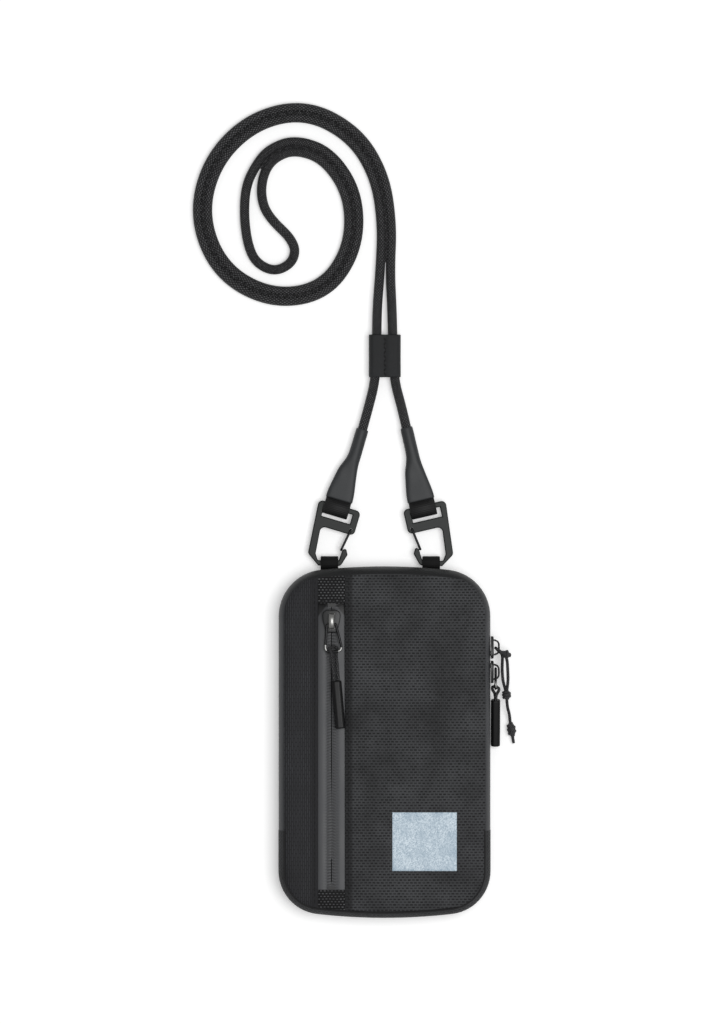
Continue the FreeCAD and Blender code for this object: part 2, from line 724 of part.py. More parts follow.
def pulls():
    """The front pull lies down the zip, and the lower side pull hangs beside the pouch to the floor."""
    # the front ring's foot stands a little off the zip, and the grip lies back down to it
    tilt = Rotation(Z_AXIS, size("ring_tilt")).multiply(Rotation(X_AXIS, -size("ring_rise")))
    front_eye = Vector(size(ZIP_MIDDLE), size(f"{FRONT_AT} - ring_seat"), size(f"{ZIP_FACE} + {CROWN_EYE}"))
    lower_eye = Vector(size(f"{SIDE} + {CROWN_EYE}"), size(f"{LOWER_AT} + side_seat"), size(MIDDLE))
    hangs = {
        "front": (Placement(front_eye, tilt), "front_ring", "front_drop", Rotation(X_AXIS, size("front_fall"))),
        "lower": (Placement(lower_eye, FACE_RIGHT), "side_ring", "side_drop", Rotation(Z_AXIS, size("side_fall"))),
    }
    for side, (frame, length, drop, fall) in hangs.items():
        hang(pull_ring(f"{side}_pull_ring", length), frame)
        foot_bar = Placement(Vector(0, -size(f"{length} - ring_wire"), 0), fall)
        hang(pull_cord(f"{side}_pull_cord", drop), frame.multiply(foot_bar))
        mouth = Placement(Vector(0, -size(drop), 0), Rotation())
        hang(grip(f"{side}_pull_grip"), frame.multiply(foot_bar).multiply(mouth))


def knot(label, start, end):
    """Barrel knot: three wraps of the thin cord round its own run from start to end."""
    radius = size("pull_cord / 2")
    way = end - start
    frame = Placement(start, Rotation(Z_AXIS, way))
    core = Part.makeCylinder(size("knot_ring") - radius / 2, way.Length)
    first = (way.Length - 2 * size("knot_pitch")) / 2
    wraps = [Part.makeTorus(size("knot_ring"), radius, Vector(0, 0, first + turn * size("knot_pitch")))
             for turn in range(3)]
    piece = finish(doc.addObject("Part::Feature", label), label)
    piece.Shape = core.multiFuse(wraps).removeSplitter()
    piece.Placement = frame


def upper_pull():
    """Thin cord through the upper slider's crown, knotted below it, with a tail to an end knot."""
    cord = size("pull_cord")
    seat = Vector(size(SIDE), size(UPPER_AT), size(MIDDLE))
    loop = [Vector(*point) + seat for point in UPPER_LOOP]
    tail = [Vector(*point) + seat for point in UPPER_TAIL]
    tail_foot = tail[-1]
    tube("upper_pull_cord", loop, cord)
    knot("upper_pull_knot", (loop[0] + loop[-1]) * 0.5, tail[0])
    tube("upper_pull_tail", tail, cord)
    knot("upper_pull_end_knot", tail_foot, tail_foot + Vector(1.6, -9.6, -0.4))


# Lanyard

SIDES = {"left": -1, "right": 1}


def tab_middle(side):
    return f"(tab_shift + {SIDES[side]} * tab_spread / 2)"


def lean(side):
    """Turn about Z of a hook and its strap: the left one leans right, the right one left."""
    return Rotation(Z_AXIS, SIDES[side] * size(f"{side}_lean"))


def tab(side, back_wall):
    """Webbing folded round the hook's bar and sewn into the pouch's top edge."""
    loop = doc.addObject("PartDesign::Body", f"{side}_tab_loop")
    disc = circle(loop, "disc", "YZ_Plane", ("0", "0"), "tab_loop + webbing")
    grow(loop, "Pad", disc, "tab_width", both=True)
    stem = rectangle(loop, "stem", "YZ_Plane", ("-panel_inset - tab_loop - webbing", "-webbing"), ("0", "webbing"))
    grow(loop, "Pad", stem, "tab_width", both=True)
    eye = circle(loop, "eye", "YZ_Plane", ("0", "0"), "tab_loop")
    grow(loop, "Pocket", eye, "tab_width * 2", both=True)
    put(loop, (tab_middle(side), BAR_UP, "lanyard_level"))
    finish(combine("Cut", f"{side}_tab", loop, back_wall), f"{side}_tab")


def hook(side):
    """Flat hook: slotted head, spine, bar in the tab and a nose. Origin in the bar, +Y to the strap."""
    piece = body(f"{side}_hook")
    out = -SIDES[side]

    def along_bar(reach, rise):
        tilt = "bar_lean"
        return (f"{reach} * cos({tilt}) - {rise} * sin({tilt})", f"{reach} * sin({tilt}) + {rise} * cos({tilt})")

    half_bar = "(hook_plate / 2)"
    head_left, head_right = "(-hook_offset - hook_width / 2)", "(hook_width / 2 - hook_offset)"
    top = "(hook_reach + hook_plate / 2)"
    slot_low = "(hook_reach - hook_plate / 2 - slot_height)"
    ceiling = f"({slot_low} - cross_bar)"
    nose_out = ("bar_half + hook_small * 2", "nose_height * 0.7")
    outer = [
        (head_left, top),
        (f"{head_left} + hook_corner", "hook_plate * 0.65"),
        along_bar("(-bar_half)", f"(-{half_bar})"),
        along_bar("bar_half", f"(-{half_bar})"),
        nose_out,
        ("bar_half + hook_small * 0.4", "nose_height"),
        ("bar_half - hook_small * 1.2", "nose_height - hook_small"),
        along_bar("(bar_half - hook_small)", half_bar),
        along_bar("(-bar_half - hook_small * 0.3)", half_bar),
        (f"{head_left} + hook_corner + spine_wide", "hook_plate"),
        (f"{head_left} + spine_wide + hook_small", ceiling),
        (head_right, ceiling),
        (head_right, top),
    ]
    outer = [(f"{out} * ({across})", along) for across, along in outer]
    grow(piece, "Pad", polygon(piece, "plate", "XY_Plane", outer), "hook_plate", both=True)
    slot_left, slot_right = (f"{out} * (-hook_offset {sign} slot_width / 2)" for sign in "-+")
    slot = rectangle(piece, "slot", "XY_Plane", (slot_left, slot_low),
                     (slot_right, "hook_reach - hook_plate / 2"))
    grow(piece, "Pocket", slot, "hook_plate * 2", both=True)
    spots = [(size(across), size(along)) for across, along in outer]
    large = [spots[index] for index in (0, 1, 3, 10, 11, 12)]
    small = [spots[index] for index in (2, 4, 7, 8, 9)]
    tip = [spots[index] for index in (5, 6)]
    for corners, radius in ((large, "hook_corner"), (small, "hook_small"), (tip, "hook_small * 0.8")):
        soften(piece, radius, lambda edge: runs_along(edge, Z_AXIS) and near(edge, corners))
    half_plate = size("hook_plate / 2")
    soften(piece, "hook_edge", lambda edge: edge.BoundBox.ZLength < 0.001
           and abs(abs(edge.CenterOfMass.z) - half_plate) < 0.001)
    pivot = circle(piece, "pivot", "XY_Plane", gate_pivot(side), "gate_wire / 2 + gate_gap")
    grow(piece, "Pocket", pivot, "hook_plate * 2", both=True)
    put(piece, (tab_middle(side), BAR_UP, "lanyard_level"), lean(side))


def gate_pivot(side):
    out = -SIDES[side]
    return (f"{out} * bar_half", "hook_reach - hook_plate / 2 - slot_height - cross_bar / 2")


def gate(side):
    """Bent wire gate: both ends in the hook's cross bar, its loop against the inside of the nose."""
    out = -SIDES[side]
    across, along = (size(formula) for formula in gate_pivot(side))
    wire = size("gate_wire")
    level = size("hook_plate / 2 + gate_gap + gate_wire / 2")
    rest_x = out * size("bar_half - hook_small * 1.2 - gate_gap - gate_wire / 2")
    rest_y = size("nose_height - hook_small * 1.4")
    inside = size("gate_gap + gate_wire / 2") - level
    points = [(across, along, -inside * 0.3), (across, along, level), (rest_x, rest_y, level),
              (rest_x, rest_y, -level), (across, along, -level), (across, along, inside * 0.3)]
    elbow = level - size("hook_plate / 2")
    piece, _ = tube(f"{side}_gate", points, wire, (elbow, wire, wire, elbow))
    put(piece, (tab_middle(side), BAR_UP, "lanyard_level"), lean(side))


def strap_frame(side):
    """Where a strap's loop sits on its hook's bar."""
    bar = Placement(Vector(size(tab_middle(side)), size(BAR_UP), size("lanyard_level")), lean(side))
    return bar.multiply(Placement(Vector(SIDES[side] * size("hook_offset"), size("hook_reach"), 0), Rotation()))


def strap(side):
    """Webbing looped through the hook's slot, its two ends together inside the sleeve."""
    piece = body(f"{side}_strap")
    disc = circle(piece, "disc", "YZ_Plane", ("0", "0"), "strap_loop + strap_thick")
    grow(piece, "Pad", disc, "strap_width", both=True)
    stem = rectangle(piece, "stem", "YZ_Plane", ("0", "-strap_thick"), ("sleeve_seat + stem_depth", "strap_thick"))
    grow(piece, "Pad", stem, "strap_width - strap_thick * 2", both=True)
    eye = circle(piece, "eye", "YZ_Plane", ("0", "0"), "strap_loop")
    grow(piece, "Pocket", eye, "strap_width * 2", both=True)
    hang(piece, strap_frame(side))


def sleeve(side):
    """Rubber sleeve: flat and wide over the webbing, then a round neck with the cord's socket."""
    piece = body(f"{side}_sleeve")
    sections = [
        ("sleeve_base", "sleeve_thick", "0"),
        ("sleeve_base * 0.9", "sleeve_thick", "sleeve_length * 0.3"),
        ("sleeve_neck * 1.12", "sleeve_neck * 0.92", "sleeve_length * 0.58"),
        ("sleeve_neck + webbing / 4", "sleeve_neck", "sleeve_length"),
    ]
    rings = [stadium(piece, f"ring_{step}", "XZ_Plane", width, thick, f"-(sleeve_seat + {up})")
             for step, (width, thick, up) in enumerate(sections)]
    loft = piece.newObject("PartDesign::AdditiveLoft", f"{side}_sleeve_loft")
    loft.Profile = rings[0]
    loft.Sections = rings[1:]
    loft.Ruled = True
    half_slot = "strap_width / 2 - strap_thick"
    slot = rectangle(piece, "slot", "XZ_Plane", (f"-({half_slot})", "-strap_thick"),
                     (half_slot, "strap_thick"), "-sleeve_seat")
    grow(piece, "Pocket", slot, "stem_depth")
    socket = circle(piece, "socket", "XZ_Plane", ("0", "0"), "cord / 2 + socket_gap",
                    "-(sleeve_seat + sleeve_length)")
    grow(piece, "Pocket", socket, "socket_depth", back=True)
    hang(piece, strap_frame(side))


def cord_end(side):
    """Where the cord starts, a little inside its sleeve's socket."""
    inside = size("sleeve_seat + sleeve_length - socket_depth * 0.5")
    return tuple(strap_frame(side).multVec(Vector(0, inside, 0)))


def neck_cord():
    inner, outer = strand(PAIR_ROUTE, 1), strand(PAIR_ROUTE, -1)
    route = [cord_end("left")] + LEFT_LEG + inner + LOOP_ROUTE + outer[::-1] + RIGHT_LEG + [cord_end("right")]
    _, path = tube("neck_cord", route, size("cord"))
    print(f"neck_cord: least gap to itself {least_gap(path, size('cord')):.2f} mm")


def cord_keeper():
    """Sewn band with a channel for each strand and a stitched groove between them."""
    piece = body("cord_keeper")
    half = "keeper_length / 2"
    band = stadium(piece, "band", "XZ_Plane", "keeper_width", "keeper_thick")
    grow(piece, "Pad", band, "keeper_length", both=True)
    for name, shift in (("left", "-channel_offset"), ("right", "channel_offset")):
        channel = stadium(piece, f"channel_{name}", "XZ_Plane", "channel_width", "channel_height", shift=shift)
        grow(piece, "Pocket", channel, "keeper_length * 2", both=True)
    face = "keeper_thick / 2"
    groove = rectangle(piece, "groove", "YZ_Plane", (f"-{half}", f"{face} - groove"), (half, f"{face} + groove"))
    grow(piece, "Pocket", groove, "groove * 2", both=True)
    put(piece, ("keeper_right", "keeper_up", "lanyard_level"))


def lanyard(back_wall):
    for side in SIDES:
        tab(side, back_wall)
        hook(side)
        gate(side)
        strap(side)
        sleeve(side)
    neck_cord()
    cord_keeper()


def export():
    doc.recompute()
    for thing in doc.Objects:
        if "Invalid" in thing.State or "Error" in thing.State:
            raise RuntimeError(f"{thing.Label}: {thing.State}")
    for piece in PIECES:
        if piece.Shape.isNull() or not piece.Shape.isValid() or not piece.Shape.Solids:
            raise RuntimeError(f"{piece.Label}: bad shape")
    os.makedirs("parts", exist_ok=True)
    for piece in PIECES:
        piece.Shape.exportStep(f"parts/{piece.Label}.step")
        box_size = piece.Shape.BoundBox
        print(f"{piece.Label}: {len(piece.Shape.Solids)} solid, {piece.Shape.Volume:.0f} mm3, "
              f"x {box_size.XMin:.1f}..{box_size.XMax:.1f} y {box_size.YMin:.1f}..{box_size.YMax:.1f} "
              f"z {box_size.ZMin:.2f}..{box_size.ZMax:.2f}")
    print(len(PIECES), "pieces")


back_half()
back_wall = zip_tape("main_zip_tape_back", BACK_LEVELS)
zip_tape("main_zip_tape_front", FRONT_LEVELS)
zip_coil("main_zip_coil_back", f"{MIDDLE} - zip_slit / 2 - coil_deep")
zip_coil("main_zip_coil_front", f"{MIDDLE} + zip_slit / 2")
bottom_gusset()
front_skin()
front_zip()
front_inside()
label_patch()
sliders()
pulls()
upper_pull()
lanyard(back_wall)
export()
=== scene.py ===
"""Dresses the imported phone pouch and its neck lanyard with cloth, zips, cords and finishes.

Shapes are worked out in millimetres in the pouch's own frame and scaled once, when a piece is made.
"""
import functools
import json
import math

import bmesh
import bpy
from bpy.props import FloatProperty, FloatVectorProperty, PointerProperty
from mathutils import Matrix, Vector, noise


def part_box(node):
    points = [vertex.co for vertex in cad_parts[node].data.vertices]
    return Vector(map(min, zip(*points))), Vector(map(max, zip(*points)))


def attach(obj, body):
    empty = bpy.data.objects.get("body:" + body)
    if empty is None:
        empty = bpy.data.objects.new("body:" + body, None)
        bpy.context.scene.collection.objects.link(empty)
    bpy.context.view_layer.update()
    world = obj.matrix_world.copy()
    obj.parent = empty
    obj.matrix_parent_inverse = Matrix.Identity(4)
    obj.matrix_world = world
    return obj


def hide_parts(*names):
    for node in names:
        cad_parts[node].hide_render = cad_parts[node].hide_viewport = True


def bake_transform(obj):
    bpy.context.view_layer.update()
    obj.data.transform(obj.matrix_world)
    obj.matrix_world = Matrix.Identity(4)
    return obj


bl_info = {
    "name": "Phone Pouch Dressing",
    "version": (1, 0, 0),
    "blender": (4, 5, 0),
    "location": "View3D > Sidebar > Pouch",
    "description": "Builds the cloth, zips, hooks and cord of a phone pouch round its packed frame",
    "category": "Object",
}

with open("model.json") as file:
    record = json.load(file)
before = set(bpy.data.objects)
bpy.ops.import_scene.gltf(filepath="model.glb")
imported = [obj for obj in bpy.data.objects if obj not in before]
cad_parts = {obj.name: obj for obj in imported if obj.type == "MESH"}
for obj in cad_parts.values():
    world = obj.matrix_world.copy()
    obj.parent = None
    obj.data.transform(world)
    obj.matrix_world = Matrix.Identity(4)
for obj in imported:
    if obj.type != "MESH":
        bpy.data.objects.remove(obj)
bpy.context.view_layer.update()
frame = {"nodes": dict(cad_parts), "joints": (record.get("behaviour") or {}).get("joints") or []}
MM = 0.001
FULL_TURN = 2 * math.pi
JOINTS = {joint["name"]: joint for joint in frame["joints"]}


def joint_spot(name):
    """Where a joint turns, in millimetres."""
    return Vector(JOINTS[name]["pos_m"]) / MM


def box_of(node):
    """Lowest and highest corner of a solid, in millimetres."""
    return [corner_point / MM for corner_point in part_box(node)]


def span(node, axis):
    """Lowest and highest place of a solid along one axis, in millimetres."""
    low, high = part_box(node)
    return low[axis] / MM, high[axis] / MM


def middle_of(node, axis):
    return sum(span(node, axis)) / 2


# Main lines of the pouch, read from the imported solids
HALF_W = span("bottom_gusset", 0)[1]
HALF_H = -span("bottom_gusset", 1)[0]
DEPTH = span("front_main_panel", 2)[1]
MIDDLE = DEPTH / 2
PANEL_IN = HALF_W - span("back_panel", 0)[1]
FABRIC = span("back_panel", 2)[1]
GUSSET_TOP = span("bottom_gusset", 1)[1]
SLIT = span("main_zip_tape_front", 2)[0] - span("main_zip_tape_back", 2)[1]
ZIP_LEFT = span("front_side_panel", 0)[1]
ZIP_RIGHT = span("front_main_panel", 0)[0]
ZIP_X = (ZIP_LEFT + ZIP_RIGHT) / 2
ZIP_FACE = span("front_zip_tape_left", 2)[1]
ZIP_TOP = span("zip_top_patch", 1)[0]
ZIP_FOOT = span("zip_bottom_patch", 1)[1]

# Rounds of the outline: corners, and the wide bow of both ends
TOP_R = 26.0
FOOT_R = 24.0
BOW = 330.0


def linear(code):
    """An sRGB hex colour as linear RGBA."""
    parts = [int(code[at:at + 2], 16) / 255 for at in (0, 2, 4)]
    return tuple(part / 12.92 if part <= 0.04045 else ((part + 0.055) / 1.055) ** 2.4
                 for part in parts) + (1.0,)


def tint(name, description, code):
    return FloatVectorProperty(name=name, description=description, default=linear(code), size=4,
                               min=0.0, max=1.0, subtype="COLOR")


def measure(name, description, default):
    return FloatProperty(name=name, description=description, default=default, min=0.0, unit="LENGTH",
                         precision=5)


class PouchColours(bpy.types.PropertyGroup):
    cloth: tint("Cloth", "Ground of the coarse front cloth", "0e0e0f")
    cloth_thread: tint("Cloth thread", "Light face of its raised threads", "424345")
    strip: tint("Strip", "Finer cloth left of the front zip", "1a1a1c")
    strip_thread: tint("Strip thread", "Light face of its threads", "38393c")
    mesh: tint("End patch", "Cloth at both ends of the front zip", "040405")
    mesh_thread: tint("End patch thread", "Light dots of that cloth", "9a9b9e")
    tape: tint("Zip tape", "Coated face of the front zip's tapes", "3f4043")
    side_tape: tint("Side tape", "Coated face of the main zip's tapes", "3f4043")
    coil: tint("Zip coil", "Nylon of the zip coils", "0d0d0e")
    lining: tint("Lining", "Cloth inside the pouch", "3a3c3f")
    foam: tint("Foam", "Padding between cloth and lining", "2c2c2d")
    thread: tint("Sewing thread", "Thread of all seams", "0e0e0f")
    patch: tint("Patch", "Pale reflective patch on the front", "cddae3")
    webbing: tint("Webbing", "Straps on the hooks", "0a0a0b")
    slider: tint("Slider", "Painted zip sliders", "131415")
    worn: tint("Bare metal", "Metal under the worn paint", "c9c9c6")
    grip: tint("Grip", "Moulded pull grips", "0b0b0c")
    hook: tint("Hook", "Coated hooks", "191c1b")
    wire: tint("Gate wire", "Wire gates of the hooks", "1c1d1e")
    sleeve: tint("Sleeve", "Rubber sleeves of the cord", "2c2e30")
    cord: tint("Cord", "Braided cord", "5c5c5e")
    keeper: tint("Keeper", "Band that slides on the cord", "242527")


class PouchSizes(bpy.types.PropertyGroup):
    puff: measure("Panel puff", "How far the front cloth swells over its foam", 0.0004)
    seam_dip: measure("Seam dip", "How far the front cloth sinks into the edge seam", 0.0020)
    rib: measure("Zip rib", "Height of the ribs that the coil prints in the front zip's tape", 0.00018)
    gusset_proud: measure("Gusset rise", "How far the bottom gusset stands over the zip tape", 0.00015)
    stitch: measure("Stitch", "Length of one stitch", 0.0024)
    cord: measure("Neck cord", "Thickness of the neck cord", 0.0053)
    thin_cord: measure("Pull cord", "Thickness of the cord on the zip pulls", 0.0017)


def groups(context):
    """The pouch's colours and sizes."""
    return context.scene.pouch_colours, context.scene.pouch_sizes


# Nodes

def feed(tree, node, inputs):
    """Links or sets a node's inputs."""
    for name, value in inputs.items():
        if isinstance(value, bpy.types.NodeSocket):
            tree.links.new(value, node.inputs[name])
        else:
            node.inputs[name].default_value = value


def add(tree, kind, inputs=(), **settings):
    """Adds a node with its settings and inputs."""
    node = tree.nodes.new(kind)
    for name, value in settings.items():
        setattr(node, name, value)
    feed(tree, node, dict(inputs))
    return node


def calc(tree, operation, *values):
    """Result of a sum on sockets or numbers."""
    return add(tree, "ShaderNodeMath", enumerate(values), operation=operation).outputs[0]


def vector_calc(tree, operation, first, second):
    return add(tree, "ShaderNodeVectorMath", {0: first, 1: second}, operation=operation).outputs


def spread(tree, value, low=0.0, high=1.0, to_low=0.0, to_high=1.0):
    """A value's range stretched to another range and held inside it."""
    return add(tree, "ShaderNodeMapRange", {"Value": value, "From Min": low, "From Max": high,
                                            "To Min": to_low, "To Max": to_high}).outputs[0]


def uneven(tree, value, middle, swing):
    """A value that turns a noise into a swing about a middle."""
    return spread(tree, value, to_low=middle - swing, to_high=middle + swing)


def mix(tree, share, first, second):
    """Colour between two colours."""
    return add(tree, "ShaderNodeMix", {"Factor": share, "A": first, "B": second},
               data_type="RGBA").outputs["Result"]


def fleck(tree, at, scale, detail):
    """Cloudy noise, its clouds 1 / scale metres wide."""
    return add(tree, "ShaderNodeTexNoise", {"Vector": at, "Scale": scale, "Detail": detail}).outputs["Fac"]


def parts_of(tree, place):
    """X, Y and Z of a place."""
    return add(tree, "ShaderNodeSeparateXYZ", {0: place}).outputs


def places(tree):
    """Coordinates that a piece has: Object in the pouch's frame, UV along its own cloth."""
    return add(tree, "ShaderNodeTexCoord").outputs


def surface(tree, uv=False, turn=0.0):
    """Coordinates in metres on a piece, turned in its plane."""
    return add(tree, "ShaderNodeMapping", {"Vector": places(tree)["UV" if uv else "Object"],
                                           "Rotation": (0.0, 0.0, turn)}).outputs[0]


def off_zip(tree, parts):
    """How far a place is from the front zip's middle line."""
    return calc(tree, "ABSOLUTE", calc(tree, "SUBTRACT", parts[0], ZIP_X * MM))


def fresh(name):
    """A new material with a bare shader in it: material, tree, shader."""
    material = bpy.data.materials.new(name)
    material.use_nodes = True
    tree = material.node_tree
    tree.nodes.clear()
    shader = add(tree, "ShaderNodeBsdfPrincipled")
    add(tree, "ShaderNodeOutputMaterial", {"Surface": shader.outputs[0]})
    return material, tree, shader


def settle(tree, shader, colour, rough, height, depth, strength=0.6, **constants):
    """Feeds the shader its colour, roughness and bump, and sets its constant sockets."""
    bump = add(tree, "ShaderNodeBump", {"Height": height, "Distance": depth, "Strength": strength})
    feed(tree, shader, {"Base Color": colour, "Roughness": rough, "Normal": bump.outputs[0]})
    feed(tree, shader, {name.replace("_", " "): value for name, value in constants.items()})


def base_of(material):
    """A finish's tree, its shader's colour socket, and what feeds it."""
    tree = material.node_tree
    shader = next(node for node in tree.nodes if node.type == "BSDF_PRINCIPLED")
    socket = shader.inputs["Base Color"]
    return tree, socket, socket.links[0].from_socket


# Finishes

def once(make):
    """Makes a finish when its name is first asked for, and finds it again later."""
    @functools.wraps(make)
    def finish(name, *values, **options):
        return bpy.data.materials.get(name) or make(name, *values, **options)
    return finish


@once
def woven(name, ground, thread, pitch, row, uv=False, turn=0.0, raised=0.4, gap=0.45, hem=False, net=False):
    """Plain-woven polyester: rows of short raised threads, each row half a thread along from the last.

    pitch and row are the thread's length and width in millimetres, gap the share of a row between threads.
    hem paints shade on the cloth along the front zip's window, where it rolls down at its turned-under edge.
    net turns the weave's tones round:
    light yarns that meet, with a dark spot in each opening.
    """
    material, tree, shader = fresh(name)
    at = surface(tree, uv, turn)
    # yarns wander a little, so the rows aren't ruled lines
    wander = add(tree, "ShaderNodeTexNoise", {"Vector": at, "Scale": 260.0, "Detail": 1.0}).outputs["Color"]
    sway = vector_calc(tree, "MULTIPLY", wander, (0.4 * MM, 0.4 * MM, 0.0))[0]
    shades = (0.0, 0.35, 1.0) if net else (0.75, 1.0, 0.0)
    first, second, between = ((shade, shade, shade, 1.0) for shade in shades)
    # at a scale of 100 a brick of 1 is 10 mm
    threads = add(tree, "ShaderNodeTexBrick",
                  {"Vector": vector_calc(tree, "ADD", at, sway)[0], "Color1": first, "Color2": second,
                   "Mortar": between, "Scale": 100.0, "Brick Width": pitch / 10, "Row Height": row / 10,
                   "Mortar Size": gap * row / 10, "Mortar Smooth": 1.0}, offset=0.5).outputs["Color"]
    blotch = fleck(tree, at, 45.0, 3.0)
    # the dye takes unevenly: the light face comes through on most threads, not all
    share = spread(tree, calc(tree, "MULTIPLY", threads, blotch), 0.05, 0.62)
    # painted shade: fewer light threads show near the zip's window, where the cloth rolls down
    if hem:
        edge = (ZIP_RIGHT - ZIP_X) * MM
        off = off_zip(tree, parts_of(tree, places(tree)["Object"]))
        pressed = spread(tree, off, edge + 3.4 * MM, edge + 4.8 * MM, to_low=0.4)
        share = calc(tree, "MULTIPLY", share, pressed)
    settle(tree, shader, mix(tree, share, ground, thread), uneven(tree, blotch, 0.75, 0.1), threads,
           raised * MM, Specular_IOR_Level=0.25)
    return material


@once
def coated(name, colour, dark, grain, rough, depth=0.05, shine=0.4):
    """Cloth or rubber with a smooth skin: fine grain and faint cloudy shade, with no weave showing.

    grain is the size of the grain in millimetres.
    """
    material, tree, shader = fresh(name)
    at = surface(tree)
    fine = fleck(tree, at, 1 / (grain * MM), 2.0)
    cloud = fleck(tree, at, 60.0, 3.0)
    share = spread(tree, calc(tree, "MULTIPLY", fine, cloud), 0.12, 0.4)
    settle(tree, shader, mix(tree, share, dark, colour), uneven(tree, cloud, rough, 0.08), fine, depth * MM,
           Specular_IOR_Level=shine)
    return material


@once
def ribbed(name, colour, dark, rib, turn=0.0, uv=True, rough=0.6, depth=0.25):
    """Woven nylon webbing or a nylon coil: close ribs across the piece, rib millimetres apart."""
    material, tree, shader = fresh(name)
    at = surface(tree, uv, turn)
    # a wave band repeats after 2 pi / (20 * scale)
    ribs = add(tree, "ShaderNodeTexWave", {"Vector": at, "Scale": math.pi / (10 * rib * MM),
                                           "Distortion": 0.6, "Detail": 1.0},
               wave_type="BANDS", bands_direction="X").outputs["Fac"]
    share = calc(tree, "MULTIPLY", ribs, fleck(tree, at, 900.0, 2.0))
    settle(tree, shader, mix(tree, share, dark, colour), rough, ribs, depth * MM, Specular_IOR_Level=0.3)
    return material


@once
def braided(name, colour, dark, length, diameter, pitch, depth):
    """Tubular nylon braid: diamonds of yarn that cross round the cord, pitch millimetres long."""
    material, tree, shader = fresh(name)
    place = places(tree)
    parts = parts_of(tree, place["UV"])
    along = calc(tree, "MULTIPLY", parts[0], length / pitch)
    across = calc(tree, "MULTIPLY", parts[1], max(3, round(math.pi * diameter / pitch)))
    yarns = []
    for way in ("ADD", "SUBTRACT"):
        angle = calc(tree, "MULTIPLY", calc(tree, way, along, across), math.pi)
        yarns.append(calc(tree, "ABSOLUTE", calc(tree, "SINE", angle)))
    crossing = calc(tree, "MULTIPLY", *yarns)
    fibre = fleck(tree, place["Object"], 1200.0, 2.0)
    share = spread(tree, calc(tree, "MULTIPLY", crossing, fibre), 0.12, 0.6)
    settle(tree, shader, mix(tree, share, dark, colour), 0.6, crossing, depth * MM, 0.9,
           Specular_IOR_Level=0.25)
    return material


@once
def painted_metal(name, paint, bare, metallic, rough, wear, shine=0.5):
    """Die-cast metal under a thin coat of paint, rubbed through to bare metal along its edges.

    wear is the share of an edge that is bare. An edge is 0.35 mm wide, and the paint's grain 0.25 mm.
    """
    material, tree, shader = fresh(name)
    at = surface(tree)
    rounded = add(tree, "ShaderNodeBevel", {"Radius": 0.35 * MM}, samples=4).outputs[0]
    facing = add(tree, "ShaderNodeNewGeometry").outputs["Normal"]
    away = calc(tree, "SUBTRACT", 1.0, vector_calc(tree, "DOT_PRODUCT", rounded, facing)["Value"])
    patchy = calc(tree, "MULTIPLY", away, fleck(tree, at, 420.0, 3.0))
    mask = spread(tree, patchy, 0.02, 0.16, to_high=wear)
    peel = fleck(tree, at, 1 / (0.25 * MM), 2.0)
    settle(tree, shader, mix(tree, mask, paint, bare), uneven(tree, peel, rough, 0.08), peel, 0.02 * MM, 0.3,
           Metallic=metallic, Specular_IOR_Level=shine)
    return material


def thread_finish(colours):
    # spun polyester thread: matt, with fine twist lines too small to show, drawn 0.3 mm apart
    return ribbed("spun_polyester_thread", colours.thread, linear("141415"), 0.3, 0.6, uv=False, rough=0.7,
                  depth=0.05)


def coil_finish(colours):
    # extruded nylon coil, one turn every 1.3 mm
    return ribbed("nylon_zip_coil", colours.coil, linear("060607"), 1.3, rough=0.45)


def cloth_finish(name, colours, hem=False):
    # coarse plain weave of coated polyester; threads 2.3 by 1.5 mm as seen on the front
    return woven(name, colours.cloth, colours.cloth_thread, 2.3, 1.53, gap=0.5, hem=hem, net=True)


def thin_braid(colours, name, length, diameter):
    # the neck cord's braid on a thinner cord, with a crossing every 1.1 mm
    return braided(name, colours.cord, linear("0a0a0b"), length, diameter, 1.1, 0.2)


def side_tape_finish(colours):
    """Zip tape with a thin plastic film: smooth and matt, with painted shade that makes it darker over the
    top than down the sides.
    """
    material = coated("film_coated_side_tape", colours.side_tape, linear("323335"), 0.4, 0.55, depth=0.03,
                      shine=0.3)
    tree, socket, rubbed = base_of(material)
    up = parts_of(tree, places(tree)["Object"])[1]
    # painted shade: the sides' tone up to 66 mm above the pouch's middle, fading to full shade from 92 mm on
    film = spread(tree, up, 66 * MM, 92 * MM)
    tree.links.new(mix(tree, film, rubbed, linear("151617")), socket)
    return material


def zip_tape_painted_shade_finish(colours):
    """The same tape with a soft gloss and fine ribs either side of the slit, where the coil lies under it;
    the shade between the ribs, and at both corners of its upper end, is painted into its colour.
    """
    material = coated("film_coated_ribbed_tape", colours.tape, linear("3b3c3e"), 0.4, 0.48, depth=0.03)
    tree, socket, smooth = base_of(material)
    parts = parts_of(tree, places(tree)["Object"])
    off = off_zip(tree, parts)
    slant = calc(tree, "MULTIPLY_ADD", off, 0.3, parts[1])
    wave = calc(tree, "SINE", calc(tree, "MULTIPLY", slant, FULL_TURN / (RIB_PITCH * MM)))
    # painted shade: dark stripes between the ribs beside the slit
    near = spread(tree, off, 2.9 * MM, 2.2 * MM, to_high=0.8)
    ribs = mix(tree, calc(tree, "MULTIPLY", near, spread(tree, wave, 0.6, -0.9)), smooth, linear("1c1c1e"))
    # painted shade at both corners of the tape's upper end, where it sinks under the cloth
    below = calc(tree, "SUBTRACT", ZIP_TOP * MM, parts[1])
    painted_corner_shade = spread(tree, calc(tree, "MULTIPLY_ADD", below, -0.8, off), 1.2 * MM, 2.2 * MM)
    tree.links.new(mix(tree, painted_corner_shade, ribs, linear("0d0d0e")), socket)
    return material


